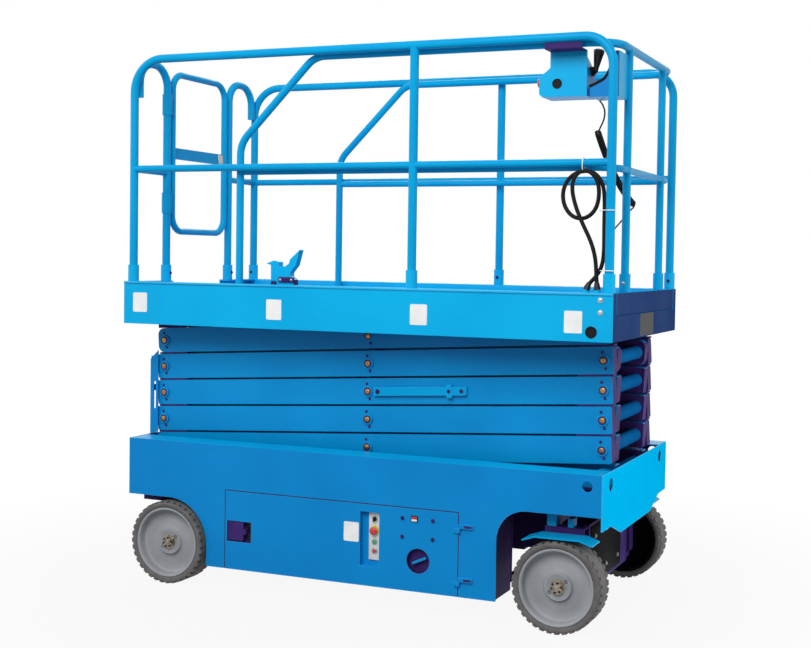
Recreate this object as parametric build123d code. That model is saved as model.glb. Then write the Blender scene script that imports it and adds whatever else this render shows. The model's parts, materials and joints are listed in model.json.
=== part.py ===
from build123d import *
import os
from math import asin, atan2, cos, degrees, pi, radians, sin, sqrt, tan

# A self-propelled scissor lift: tub chassis on four wheels, five crossed arm pairs, roll-out deck.
# Millimetres. +X is the steered end, -Y the right side, +Z up, origin on the ground mid-length.
SIDES = (("r", -1), ("l", 1))

# Running and seating clearances
running_gap = 0.06
seat_gap = 0.3
move_gap = 5.0

# Sizes that the rest follows: deck length and width, rail height, lowest pins and stack pitch
deck_half_len = 1177.5
deck_half_w = 564.0
rail_top = 2424.0
base_pin_z = 603.9
stages = 5
stack_pitch = 125.9

# Wheels: tyre, rim and spindle
rear_wheel_x = 259.0 - deck_half_len
front_wheel_x = deck_half_len - 211.5
wheel_r = 190.5
wheel_w = 127.0
wheel_face = deck_half_w + 23.0
kingpin_y = wheel_face - 167.0
tyre_inner_r = 161.0
rim_wall = 14.0
rim_web_t = 14.0
dish_depth = 47.0
hub_r = 58.0
hub_inset = 14.0
hub_sunk = 27.0
rim_lip = 4.0
spindle_r = 30.0
spindle_nut_r = 24.0
spindle_nut_t = 14.0

# Chassis tub
chassis_rear_x = 32.0 - deck_half_len
chassis_front_x = deck_half_len - 29.0
chassis_half_w = deck_half_w - 6.0
chassis_top = base_pin_z + 56.1
chassis_bottom = 97.0
skin_t = 8.0
flange_w = 130.0
flange_t = 6.0
end_plate_t = 6.0
rear_skirt_z = 397.0
rear_arch_x = rear_wheel_x + 199.5
rear_arch_r = 205.0
front_arch_x = front_wheel_x - 270.5
front_arch_r = 130.0
front_arch_z = 487.0
tub_floor_top = 510.0
tub_floor_t = 10.0
spine_half_w = kingpin_y - 75.0
rear_notch_half = spine_half_w - 4.0
spine_wall = 10.0
spine_bottom = 130.0
spine_rear_x = chassis_rear_x + 45.5
spine_front_x = front_arch_x - 5.5
bulkhead_t = 8.0
strap_w = 50.0
strap_xs = (spine_rear_x + 40.0, -480.0, 100.0, spine_front_x - strap_w)
tie_down_x = chassis_front_x - 65.0
tie_down_z = chassis_top - 49.0
tie_down_r = 22.0
nose_hole_y = chassis_half_w - 128.0
nose_hole_z = chassis_top - 54.0
nose_hole_r = 28.0
nose_corner_z = 430.0
nose_dip_z = 375.0
nose_flat_half = chassis_half_w - 298.0
nose_shoulder_half = chassis_half_w - 138.0

# Side modules: a door with a shallow tray that swings out with it
door_rear_x = rear_arch_x + 102.5
door_front_x = front_arch_x - 172.0
door_top = 453.0
door_t = 8.0
door_hinge_x = door_front_x + 8.0
door_hinge_y = chassis_half_w + 8.0
door_hinge_r = 7.0
door_hinge_len = 36.0
door_leaf_w = 62.0
door_tab_w = 14.0
door_hinge_zs = (164.0, 390.0)
tray_rear_x = door_rear_x + 36.5
tray_front_x = door_front_x - 23.5
tray_depth = 170.0
tray_t = 5.0
tray_wall_h = 60.0
recess_depth = 30.0
recess_wall = 4.0
latch_x = (door_rear_x + 8.5, door_rear_x + 134.5)
latch_z = (224.0, 318.0)
panel_x = (door_front_x - 458.5, door_front_x - 366.5)
panel_z = (184.0, 420.0)
# rows: height above the recess's sill, radius, length
button_rows = ((204, 12, 12), (154, 16, 18), (104, 9, 8), (64, 9, 8))
knob_x = door_front_x - 181.5
knob_z = 230.0
knob_r = 54.0
knob_bar = (68.0, 10.0, 24.0)
battery_len = 580.0
battery_x = (tray_rear_x + 20.0, tray_rear_x + 20.0 + battery_len)
tank_x = (tray_rear_x + 60.0, tray_front_x - 240.0)
module_block_top = 420.0

# Steered front axle
kingpin_r = 25.0
yoke_low_z = (122.0, 145.0)
yoke_high_z = (388.0, 408.0)
yoke_half_w = 45.0
axle_half_w = 60.0
axle_half_len = kingpin_y - 102.0
axle_seat_half = axle_half_len - 118.0
knuckle_half_w = 55.0
knuckle_inner = kingpin_y - 32.0
knuckle_outer = kingpin_y + 32.0
knuckle_z = (150.0, 382.0)
steer_arm_len = 150.0
steer_arm_half_w = 18.0
steer_arm_t = 20.0
steer_eye_r = 24.0
steer_pin_r = 12.0
tie_rod_r = 14.0
tie_eye_t = 24.0
guard_len = 300.0
guard_flat = 190.0
guard_drop = 18.0
guard_t = 6.0
guard_z = 2 * wheel_r + 8.0
guard_inner = kingpin_y + yoke_half_w + 6.0
guard_outer = wheel_face - 2.0
cap_z = yoke_high_z[1] + 6.0
cap_half_len = 85.0
lug_rows = ((-78.0, -38.0, 48.0), (12.0, 36.0, 36.0))
motor_r = 80.0

# Scissor stack: five crossed arm pairs
rear_pin_x = 73.5 - deck_half_len
arm_len = 2 * deck_half_len - 167.0
arm_h = 116.0
arm_overhang = 40.0
arm_corner_r = 8.0
top_corner_r = 32.0
outer_lane = (spine_half_w - 70.0, spine_half_w - 10.0)
inner_lane = (outer_lane[0] - 70.0, outer_lane[0] - 10.0)
pin_r = 20.0
pin_head_r = 24.0
pin_head_t = 10.0
pin_reach = inner_lane[0] + 5.0
cross_tube_r = 30.0
roller_r = 45.0
track_rear_x = -30.0
deck_track_rear_x = -60.0
prop_len = 450.0
prop_h = 38.0
prop_t = 18.0
prop_clip = (24.0, 20.0, 6.0)
prop_clip_back = 80.0

# Lift cylinder between the first and second inner frames
cylinder_tube_u = arm_len - 301.4
rod_pin_drop = (45.0, -78.0)
barrel_r = 55.0
barrel_eye_r = 50.0
barrel_neck = 30.0
rod_show = 46.29
barrel_half_eye = 40.0
rod_r = 30.0
rod_eye_r = 40.0
rod_half_eye = 32.0
rod_back = 186.29
bore_back = 36.29
lug_t = 12.0
lug_r = 44.0

# Platform deck
deck_bottom = base_pin_z + stages * stack_pitch - 36.4
deck_top = deck_bottom + 197.0
deck_skin = 6.0
deck_floor_top = deck_bottom + 105.0
deck_floor_t = 4.0
deck_lip_w = 50.0
deck_flange_w = 36.0
deck_beam_top = deck_floor_top - 3.0
deck_stiffener_y = deck_half_w - 180.0
deck_rib_shares = (-0.765, -0.255, 0.255, 0.765)
platform_eye_r = 36.0

# Guard rails
rail_r = 19.0
mid_rail_r = 16.0
rail_y = deck_half_w - 26.0
mid_rail_z = rail_top - 506.0
rail_rear_x = 34.0 - deck_half_len
rail_mid_back = 893.5
rail_mid_x = deck_half_len - rail_mid_back
rail_front_x = deck_half_len - 26.0
rail_rear_bend = 150.0
rail_front_bend = 120.0
socket_r = 25.0
socket_h = 77.0
gate_post_y = rail_y - 261.0
rear_entry_half = gate_post_y - socket_r
rear_arch_bend = 100.0
rear_leg_end = rail_top - 169.0
gate_half_w = gate_post_y - 44.0
gate_step = 242.0
gate_drop = 20.0
gate_z = (deck_top + gate_step, rail_top - gate_drop)
gate_bend = 80.0
gate_middle = sum(gate_z) / 2
gate_bar_z = (gate_middle - 31.0, gate_middle + 24.0)
gate_bar_t = 8.0
gate_sleeve_r = 23.5
gate_sleeve_len = 99.0
gate_sleeve_rise = 86.0
gate_sleeve_drop = 108.0
gate_sleeve_lows = (gate_z[0] + gate_sleeve_rise, gate_z[1] - gate_sleeve_drop - gate_sleeve_len)

# Roll-out deck extension
ext_len = 1817.5
ext_rear_x = deck_half_len - ext_len
ext_half_w = deck_half_w - 64.0
ext_floor_t = 4.0
ext_pad_t = 5.7
ext_pad_y = (ext_half_w - 70.0, ext_half_w - 30.0)
ext_lip_h = 28.0
ext_lip_w = 30.0
toe_half_w = deck_half_w - 57.0
toe_bottom = deck_floor_top + 2.0
ext_rail_r = 17.0
ext_rail_y = ext_half_w - 10.0
ext_rail_top = rail_top - 18.0
ext_mid_z = mid_rail_z - 16.0
ext_brace_x = ext_rear_x + 43.0
ext_brace_z = rail_top - 394.0
ext_front_x = deck_half_len - 24.5
ext_bend = 120.0
ext_post_y = ext_rail_y - 190.0
pedal_x = ext_rear_x + 195.0
pedal_y = (ext_half_w - 70.0, ext_half_w - 30.0)
pedal_outline = (
    (0, 0), (120, 0), (120, 104), (100, 122), (100, 136), (128, 170), (147, 240), (97, 196), (92, 178), (72, 164),
    (42, 164), (42, 184), (14, 190), (-25, 176), (0, 169),
)

# Control box on the right top rail, document box on the extension's front rail
box_x = (rail_front_x - 289.5, rail_front_x - 131.5)
box_y = (rail_y - 208.0, rail_y - 76.0)
box_z = (rail_top - 229.0, rail_top - 52.0)
box_slope = (35.0, 72.0)
box_sheet = 4.0
box_bulge_x = box_x[0] - 47.0
box_bulge_rise = (83.0, 119.0)
box_foot = 14.0
box_hanger_t = 6.0
box_hanger_z = ext_rail_top - ext_rail_r - 11.0
stop_r = 19.0
stop_rise = 67.0
stop_lengths = (14.0, 30.0)
boot_r = 20.0
boot_len = 20.0
boot_drop = 70.0
grip_r = 16.0
grip_x = (18.0, 32.0)
grip_drop = (70.0, -18.0)
document_x = (ext_front_x - 122.0, ext_front_x)
document_y = (ext_post_y + ext_rail_r + seat_gap, ext_rail_y - 35.0)
document_z = (ext_rail_top - 215.0, ext_rail_top - 31.0)
document_low = ext_rail_top - 170.0
document_bend = (57.0, ext_rail_top - 136.0)
document_lip = 8.0
document_wall = 4.0

# Ladder on the rear of the chassis
ladder_y = (rear_notch_half + 4.5, rear_notch_half + 10.5)
ladder_rear_x = -deck_half_len
ladder_front_x = chassis_rear_x + 11.5
ladder_bottom = 430.0
ladder_front_top = deck_bottom - 138.0
ladder_rear_top = ladder_front_top - 44.0
ladder_slot_z = (ladder_front_top - 282.0, ladder_front_top - 152.0)
ladder_slot_w = 12.0
rung_t = 8.0
rung_h = 30.0
rung_zs = (450.0, 700.0, 860.0, 1000.0)

# Cords: the power cable looped under the right mid rail, and the control box's curly cord
cable_r = 8.5
gland_r = 13.0
gland_h = 12.0
# rows: off the front post's foot on the right side
cable_rows = (
    (-45.5, -11, 12), (-50.5, -12, 66), (-53.5, -14, 136), (-73.5, -15, 206), (-111.5, -15, 278),
    (-145.5, -15, 356), (-161.5, -14, 432), (-139.5, -13, 484), (-91.5, -11, 494), (-54.5, -8, 456),
    (-45.5, -4, 398), (-59.5, 0, 334), (-105.5, 4, 296), (-161.5, 7, 304), (-199.5, 10, 352), (-206.5, 13, 414),
    (-179.5, 16, 468), (-127.5, 17, 494), (-73.5, 18, 486), (-37.5, 18, 442), (-29.5, 18, 370),
    (-30.5, 18, 266), (-28.5, 18, 166), (-35.5, 17, 106), (-59.5, 13, 64), (-85.5, 8, 38), (-96.5, 6, 12),
)
lead_r = 4.5
curly_r = 15.0
curly_points = ((1056, -416, 2054), (1062, -330, 1975), (1078, -210, 1880), (1098, -70, 1796), (1106, 0, 1775))
lead_in_points = (
    (990, -330, 2222), (990, -296, 2222), (1026, -290, 2206), (1058, -300, 2160), (1064, -352, 2104), (1056, -416, 2054),
)
lead_out_points = (
    (1106, 0, 1775), (1104, -62, 1742), (1098, -150, 1700), (1098, -250, 1668), (1106, -350, 1642),
    (1116, -430, 1624), (1130, -490, 1614), (1141.5, -519, 1610),
)

# Worked out from the sizes above
rest_angle = asin(stack_pitch / arm_len)
front_pin_x = rear_pin_x + arm_len * cos(rest_angle)
mid_pin_x = (rear_pin_x + front_pin_x) / 2
wheel_inner = wheel_face - wheel_w
tub_floor_bottom = tub_floor_top - tub_floor_t
ext_floor_bottom = deck_floor_top + seat_gap + ext_pad_t
ext_floor_top = ext_floor_bottom + ext_floor_t
cable_points = [(rail_front_x + x, -rail_y + y, deck_top + z) for x, y, z in cable_rows]


def level(i):
    return base_pin_z + i * stack_pitch


# Solids along the three axes
def block(x0, x1, y0, y1, z0, z1):
    centre = Pos((x0 + x1) / 2, (y0 + y1) / 2, (z0 + z1) / 2)
    return centre * Box(abs(x1 - x0), abs(y1 - y0), abs(z1 - z0))


def rod_x(y, z, r, x0, x1):
    return Pos((x0 + x1) / 2, y, z) * Rot(0, 90, 0) * Cylinder(r, abs(x1 - x0))


def rod_y(x, z, r, y0, y1):
    return Pos(x, (y0 + y1) / 2, z) * Rot(90, 0, 0) * Cylinder(r, abs(y1 - y0))


def rod_z(x, y, r, z0, z1):
    return Pos(x, y, (z0 + z1) / 2) * Cylinder(r, abs(z1 - z0))


def plate_y(points, y0, y1):
    low, high = min(y0, y1), max(y0, y1)
    face = make_face(Polyline(*[(x, low, z) for x, z in points], close=True))
    return extrude(face, amount=high - low, dir=(0, 1, 0))


def plate_x(points, x0, x1):
    face = make_face(Polyline(*[(x0, y, z) for y, z in points], close=True))
    return extrude(face, amount=x1 - x0, dir=(1, 0, 0))


def turned_y(x, z, profile):
    # profile rows: radius, y
    face = make_face(Polyline(*[(x + r, y, z) for r, y in profile], close=True))
    return revolve(face, axis=Axis((x, 0, z), (0, 1, 0)))


def strut(start, end, r):
    along = Vector(*end) - Vector(*start)
    low = (Align.CENTER, Align.CENTER, Align.MIN)
    return Plane(origin=start, z_dir=along) * Cylinder(r, along.length, align=low)


def bent_tube(points, bends, r, closed=False):
    path = FilletPolyline(*points, radius=bends, close=closed)
    return sweep(Plane(path @ 0, z_dir=path % 0) * Circle(r), path=path)


def mirrored(shape):
    return mirror(shape, about=Plane.XZ)


def save(name, *solids):
    shape = solids[0] if len(solids) == 1 else Compound(children=[s for s in solids])
    export_step(shape, f"parts/{name}.step")


# Wheels
def tyre(x, side):
    outer = rod_y(x, wheel_r, wheel_r, side * wheel_inner, side * wheel_face)
    return outer - rod_y(x, wheel_r, tyre_inner_r, side * wheel_inner, side * wheel_face)


def rim(x, side):
    rim_r = tyre_inner_r - seat_gap
    well_r = rim_r - rim_wall
    web_face = wheel_face - dish_depth
    bore_r = spindle_r + running_gap
    hub_in = wheel_inner + hub_inset
    hub_out = wheel_face - hub_sunk
    lip = rim_lip
    rows = (
        (bore_r, hub_in), (hub_r, hub_in), (hub_r, web_face - rim_web_t), (well_r, web_face - rim_web_t),
        (well_r, wheel_inner + lip), (rim_r, wheel_inner + lip), (rim_r, wheel_face - lip),
        (well_r + lip, wheel_face - lip), (well_r, wheel_face - rim_web_t), (well_r, web_face),
        (hub_r + lip, web_face + 2 * lip), (hub_r, hub_out), (bore_r, hub_out),
    )
    return turned_y(x, wheel_r, [(r, side * y) for r, y in rows])


def spindle(x, side, root_y):
    hub_out = wheel_face - hub_sunk
    shaft = rod_y(x, wheel_r, spindle_r, side * root_y, side * (hub_out + 1))
    nut = rod_y(x, wheel_r, spindle_nut_r, side * (hub_out + 1), side * (hub_out + 1 + spindle_nut_t))
    return shaft + nut


def make_wheels():
    for end, x in (("rear", rear_wheel_x), ("front", front_wheel_x)):
        for tag, side in SIDES:
            save(f"tyre_{end}_{tag}", tyre(x, side))
            save(f"rim_{end}_{tag}", rim(x, side))


# Chassis
def side_skin():
    inner_front = chassis_front_x - end_plate_t
    edge = Polyline(
        (rear_arch_x - rear_arch_r, rear_skirt_z), (chassis_rear_x, rear_skirt_z), (chassis_rear_x, chassis_top),
        (inner_front, chassis_top), (inner_front, front_arch_z), (front_arch_x + front_arch_r, front_arch_z),
    )
    front_arc = RadiusArc(edge @ 1, (front_arch_x, front_arch_z - front_arch_r), -front_arch_r)
    sill = Polyline(
        front_arc @ 1, (front_arch_x, chassis_bottom), (rear_arch_x, chassis_bottom),
        (rear_arch_x, rear_skirt_z - rear_arch_r),
    )
    rear_arc = RadiusArc(sill @ 1, edge @ 0, -rear_arch_r)
    face = make_face([edge, front_arc, sill, rear_arc])
    skin = Plane((0, -chassis_half_w, 0), x_dir=(1, 0, 0), z_dir=(0, 1, 0)) * mirror(face, about=Plane.XZ)
    skin = extrude(skin, amount=skin_t, dir=(0, 1, 0))
    skin += block(chassis_rear_x + end_plate_t, inner_front, -chassis_half_w, flange_w - chassis_half_w,
                  chassis_top - flange_t, chassis_top)
    skin -= block(door_rear_x - move_gap, door_front_x + move_gap, -chassis_half_w - 1, skin_t - chassis_half_w + 1,
                  chassis_bottom - 1, door_top + move_gap)
    skin -= rod_y(tie_down_x, tie_down_z, tie_down_r, -chassis_half_w - 1, skin_t - chassis_half_w + 1)
    for z in door_hinge_zs:
        high = z + door_hinge_len / 2
        skin += block(door_hinge_x, door_hinge_x + door_leaf_w, -door_hinge_y - 3, -chassis_half_w, z + seat_gap / 2, high)
        skin += rod_z(door_hinge_x, -door_hinge_y, door_hinge_r, z + seat_gap / 2, high)
    return skin


def chassis_frame():
    wall = skin_t - chassis_half_w
    frame = block(chassis_rear_x + end_plate_t, chassis_front_x - end_plate_t, wall, -wall,
                  tub_floor_bottom, tub_floor_top)
    frame += block(chassis_rear_x, chassis_rear_x + end_plate_t, wall, -wall, rear_skirt_z, chassis_top)
    frame -= block(chassis_rear_x - 1, chassis_rear_x + end_plate_t + 1, -rear_notch_half, rear_notch_half,
                   tub_floor_top, chassis_top + 1)
    for side in (-1, 1):
        inner = side * (spine_half_w - spine_wall)
        frame += block(spine_rear_x, spine_front_x, inner, side * spine_half_w, spine_bottom, tub_floor_bottom)
        for x in (rear_arch_x + bulkhead_t, front_arch_x - 2 * bulkhead_t):
            frame += block(x, x + bulkhead_t, side * spine_half_w, side * -wall, chassis_bottom, tub_floor_bottom)
        frame += block(track_rear_x, chassis_front_x - end_plate_t, side * outer_lane[0], side * outer_lane[1],
                       tub_floor_top, base_pin_z - roller_r - seat_gap)
        frame += pivot_bracket(side)
    for x in strap_xs:
        frame += block(x, x + strap_w, spine_wall - spine_half_w, spine_half_w - spine_wall, spine_bottom, spine_bottom + spine_wall)
    return frame


def pivot_bracket(side):
    y0, y1 = side * inner_lane[0], side * inner_lane[1]
    eye_r = pin_r + 25
    web = block(rear_pin_x - eye_r, rear_pin_x + eye_r, y0, y1, tub_floor_top, base_pin_z)
    bracket = web + rod_y(rear_pin_x, base_pin_z, eye_r, y0, y1)
    return bracket - rod_y(rear_pin_x, base_pin_z, pin_r + running_gap, y0, y1)


def front_plate():
    half = (
        (chassis_half_w, chassis_top), (chassis_half_w, nose_corner_z), (nose_shoulder_half, nose_corner_z),
        (nose_flat_half, nose_dip_z),
    )
    outline = list(half) + [(-y, z) for y, z in reversed(half)]
    plate = plate_x(outline, chassis_front_x - end_plate_t, chassis_front_x)
    for side in (-1, 1):
        plate -= rod_x(side * nose_hole_y, nose_hole_z, nose_hole_r, chassis_front_x - 10, chassis_front_x + 1)
    return plate


def ladder():
    outline = (
        (ladder_rear_x, ladder_bottom), (chassis_rear_x, ladder_bottom), (chassis_rear_x, chassis_top + 2),
        (ladder_front_x, chassis_top + 2), (ladder_front_x, ladder_front_top), (ladder_rear_x, ladder_rear_top),
    )
    cheek = plate_y(outline, ladder_y[0], ladder_y[1])
    slot_x = ladder_front_x - 2 * ladder_slot_w
    cheek -= block(slot_x, slot_x + ladder_slot_w, ladder_y[0] - 1, ladder_y[1] + 1, *ladder_slot_z)
    body = cheek + mirrored(cheek)
    for z in rung_zs:
        body += block(ladder_rear_x, ladder_rear_x + rung_t, -ladder_y[0], ladder_y[0], z, z + rung_h)
    return body


def rear_hub(side):
    hub = rod_y(rear_wheel_x, wheel_r, motor_r, side * spine_half_w, side * (wheel_inner - 15))
    return hub + spindle(rear_wheel_x, side, wheel_inner - 15)


def front_axle():
    x = front_wheel_x
    axle = block(x - axle_half_w, x + axle_half_w, -axle_half_len, axle_half_len, yoke_low_z[0], yoke_high_z[1])
    axle += block(x - axle_half_w, x + axle_half_w, -axle_seat_half, axle_seat_half, yoke_high_z[1], tub_floor_bottom)
    for side in (-1, 1):
        for z0, z1 in (yoke_low_z, yoke_high_z):
            axle += block(x - yoke_half_w, x + yoke_half_w, side * axle_half_len, side * kingpin_y, z0, z1)
            axle += rod_z(x, side * kingpin_y, yoke_half_w, z0, z1)
            axle -= rod_z(x, side * kingpin_y, kingpin_r + running_gap, z0, z1)
    return axle


def knuckle(side):
    x, y = front_wheel_x, side * kingpin_y
    body = block(x - knuckle_half_w, x + knuckle_half_w, side * knuckle_inner, side * knuckle_outer, *knuckle_z)
    body += rod_z(x, y, kingpin_r, yoke_low_z[0], cap_z)
    body += spindle(x, side, knuckle_outer)
    arm_z0 = knuckle_z[0]
    arm_z1 = arm_z0 + steer_arm_t
    eye_x = x - steer_arm_len
    body += block(eye_x, x, y - steer_arm_half_w, y + steer_arm_half_w, arm_z0, arm_z1)
    body += rod_z(eye_x, y, steer_eye_r, arm_z0, arm_z1)
    body += rod_z(eye_x, y, steer_pin_r, arm_z1, arm_z1 + tie_eye_t + 4)
    cap_top = cap_z + guard_t
    web_y = (side * guard_inner, side * (guard_inner + guard_t))
    body += block(x - cap_half_len, x + cap_half_len, y, web_y[1], cap_z, cap_top)
    body += block(x - cap_half_len, x + cap_half_len, *web_y, guard_z, cap_z)
    for x0, x1, rise in lug_rows:
        body += block(x + x0, x + x1, y, web_y[0], cap_top, cap_top + rise)
    flat, half = guard_flat / 2, guard_len / 2
    low = guard_z - guard_drop
    outline = (
        (x - half, low), (x - flat, guard_z), (x + flat, guard_z), (x + half, low), (x + half, low + guard_t),
        (x + flat, guard_z + guard_t), (x - flat, guard_z + guard_t), (x - half, low + guard_t),
    )
    return body + plate_y(outline, web_y[0], side * guard_outer)


def tie_rod():
    eye_x = front_wheel_x - steer_arm_len
    z0 = knuckle_z[0] + steer_arm_t + seat_gap
    z1 = z0 + tie_eye_t
    rod = rod_y(eye_x, (z0 + z1) / 2, tie_rod_r * 0.8, -kingpin_y, kingpin_y)
    for side in (-1, 1):
        rod += rod_z(eye_x, side * kingpin_y, steer_eye_r, z0, z1)
    for side in (-1, 1):
        rod -= rod_z(eye_x, side * kingpin_y, steer_pin_r + running_gap, z0, z1)
    return rod


def make_chassis():
    skin = side_skin()
    save("side_skin_r", skin)
    save("side_skin_l", mirrored(skin))
    save("chassis_frame", chassis_frame())
    save("front_plate", front_plate())
    save("ladder", ladder())
    save("front_axle", front_axle())
    save("rear_hubs", rear_hub(-1), rear_hub(1))
    for tag, side in SIDES:
        save(f"knuckle_{tag}", knuckle(side))
    save("tie_rod", tie_rod())


# Side modules
def recess(door, x0, x1, z0, z1):
    face_y = -chassis_half_w
    back_y = face_y + recess_depth
    door += block(x0 - recess_wall, x1 + recess_wall, face_y + door_t, back_y + recess_wall, z0 - recess_wall,
                  z1 + recess_wall)
    return door - block(x0, x1, face_y - 1, back_y, z0, z1)


def door(with_controls):
    face_y = -chassis_half_w
    body = block(door_rear_x, door_front_x, face_y, face_y + door_t, chassis_bottom, door_top)
    body = recess(body, *latch_x, *latch_z)
    mid_z = sum(latch_z) / 2
    back_y = face_y + recess_depth
    body += block(latch_x[0] + 30, latch_x[1] - 30, face_y + 4, back_y, mid_z - 12, mid_z + 12)
    if with_controls:
        body = recess(body, *panel_x, *panel_z)
        body += rod_y(knob_x, knob_z, knob_r + recess_wall, face_y + door_t, back_y + recess_wall)
        body -= rod_y(knob_x, knob_z, knob_r, face_y - 1, back_y)
        bar_len, bar_w, bar_turn = knob_bar
        bar = Box(bar_len, recess_depth - 8, bar_w)
        body += Pos(knob_x, back_y - (recess_depth - 8) / 2, knob_z) * Rot(0, -bar_turn, 0) * bar
    for z in door_hinge_zs:
        low = z - door_hinge_len / 2
        body += block(door_front_x - door_tab_w, door_front_x, -door_hinge_y - 3, face_y, low, z - seat_gap / 2)
        body += block(door_front_x - 1, door_hinge_x, -door_hinge_y - 3, -door_hinge_y + 3, low, z - seat_gap / 2)
        body += rod_z(door_hinge_x, -door_hinge_y, door_hinge_r, low, z - seat_gap / 2)
    return body


def tray():
    y0 = -chassis_half_w + door_t
    y1 = y0 + tray_depth
    z0 = chassis_bottom + 8
    body = block(tray_rear_x, tray_front_x, y0, y1, z0, z0 + tray_t)
    body += block(tray_rear_x, tray_front_x, y1 - tray_t, y1, z0 + tray_t, z0 + tray_wall_h)
    for x in (tray_rear_x, tray_front_x - tray_t):
        body += block(x, x + tray_t, y0, y1, z0 + tray_t, z0 + tray_wall_h)
    return body


def module_block(x0, x1):
    y0 = -chassis_half_w + recess_depth + recess_wall + 8
    y1 = -chassis_half_w + door_t + tray_depth - tray_t - seat_gap
    return block(x0, x1, y0, y1, chassis_bottom + 8 + tray_t, module_block_top)


def ground_control():
    back_y = -chassis_half_w + recess_depth
    strip_x = (panel_x[1] - 58, panel_x[1] - 4)
    body = block(*strip_x, back_y - 5, back_y, panel_z[0] + 26, panel_z[1] - 4)
    mid_x = sum(strip_x) / 2
    for rise, r, length in button_rows:
        body += rod_y(mid_x, panel_z[0] + rise, r, back_y - 5, back_y - 5 - length)
    return body


def make_modules():
    save("door_r", door(True))
    save("door_l", mirrored(door(False)))
    save("tray_r", tray())
    save("tray_l", mirrored(tray()))
    save("battery_block", module_block(*battery_x))
    save("hydraulic_block", mirrored(module_block(*tank_x)))
    save("ground_control", ground_control())


# Scissor stack
def arm(i, rise, y0, y1):
    # rise is +1 where the arm climbs towards the front, -1 where it climbs to the rear
    centre = Plane((mid_pin_x, min(y0, y1), level(i - 0.5)), x_dir=(1, 0, 0), z_dir=(0, -1, 0))
    corner_r = top_corner_r if i == stages else arm_corner_r
    outline = RectangleRounded(arm_len + 2 * arm_overhang, arm_h, corner_r)
    face = centre * Rot(0, 0, rise * degrees(rest_angle)) * outline
    return extrude(face, amount=abs(y1 - y0), dir=(0, 1, 0))


def outer_arms(i):
    # pin places: rear low end, middle, front high end
    places = (
        (rear_pin_x, level(i - 1)), (mid_pin_x, level(i - 0.5)), (front_pin_x, level(i)),
    )
    bars, pins = [], []
    for side in (-1, 1):
        y0, y1 = side * outer_lane[0], side * outer_lane[1]
        bar = arm(i, 1, y0, y1)
        for x, z in places:
            bar -= rod_y(x, z, pin_r + running_gap, y0, y1)
            pin = rod_y(x, z, pin_r, side * pin_reach, y1)
            pin += rod_y(x, z, pin_head_r, y1, y1 + side * pin_head_t)
            if i == stages and x == front_pin_x:
                pin += rod_y(x, z, roller_r, side * (inner_lane[0] + 2), side * (inner_lane[1] - 2))
            pins.append(pin)
        bars.append(bar)
    return bars, pins


def inner_frame(i):
    rear = (rear_pin_x, level(i))
    front = (front_pin_x, level(i - 1))
    middle = (mid_pin_x, level(i - 0.5))
    frame = None
    for side in (-1, 1):
        y0, y1 = side * inner_lane[0], side * inner_lane[1]
        bar = arm(i, -1, y0, y1)
        held = [rear, middle, front]
        if i == 1:
            held.remove(front)
            bar += rod_y(*front, pin_r, y1, side * outer_lane[0])
            bar += rod_y(*front, roller_r, side * (outer_lane[0]), side * (outer_lane[1] - 2))
        if i == stages:
            held.remove(rear)
            bar += rod_y(*rear, pin_r, y1, side * outer_lane[1])
        for x, z in held:
            bar -= rod_y(x, z, pin_r + running_gap, side * (pin_reach - 2), y1)
        frame = bar if frame is None else frame + bar
    for x, z in (rear, middle, front):
        frame += rod_y(x, z, cross_tube_r, -inner_lane[0], inner_lane[0])
    if i == 2:
        frame += cylinder_lugs()
    return frame


def cylinder_tube_place():
    return (rear_pin_x + cylinder_tube_u * cos(rest_angle), level(2) - cylinder_tube_u * sin(rest_angle))


def rod_pin_place():
    x, z = cylinder_tube_place()
    return x + rod_pin_drop[0], z + rod_pin_drop[1]


def cylinder_lugs():
    x, z = cylinder_tube_place()
    pin_x, pin_z = rod_pin_place()
    body = rod_y(x, z, cross_tube_r, -inner_lane[0], inner_lane[0])
    reach = sqrt(rod_pin_drop[0] ** 2 + rod_pin_drop[1] ** 2)
    tilt = degrees(atan2(rod_pin_drop[1], rod_pin_drop[0]))
    for side in (-1, 1):
        y0 = rod_half_eye + seat_gap
        y1 = y0 + lug_t
        low = min(side * y0, side * y1)
        plane = Plane(((x + pin_x) / 2, low, (z + pin_z) / 2), x_dir=(1, 0, 0), z_dir=(0, -1, 0))
        body += extrude(plane * SlotCenterToCenter(reach, 2 * lug_r, rotation=tilt), amount=lug_t, dir=(0, 1, 0))
    return body


def safety_prop():
    y1 = -outer_lane[1]
    z_mid = level(2.5)
    x0 = mid_pin_x + pin_head_r + 8
    along = Plane((x0, y1, z_mid + (x0 - mid_pin_x) * tan(rest_angle)), x_dir=(cos(rest_angle), 0, sin(rest_angle)),
                  z_dir=(0, -1, 0))
    face = along * Pos(prop_len / 2, 0) * RectangleRounded(prop_len, prop_h, 8)
    bar = extrude(face, amount=prop_t, dir=(0, -1, 0))
    clip_w, clip_over, clip_proud = prop_clip
    clip = along * Pos(prop_len - prop_clip_back, 0) * Rectangle(clip_w, prop_h + clip_over)
    return bar + extrude(clip, amount=prop_t + clip_proud, dir=(0, -1, 0))


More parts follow.
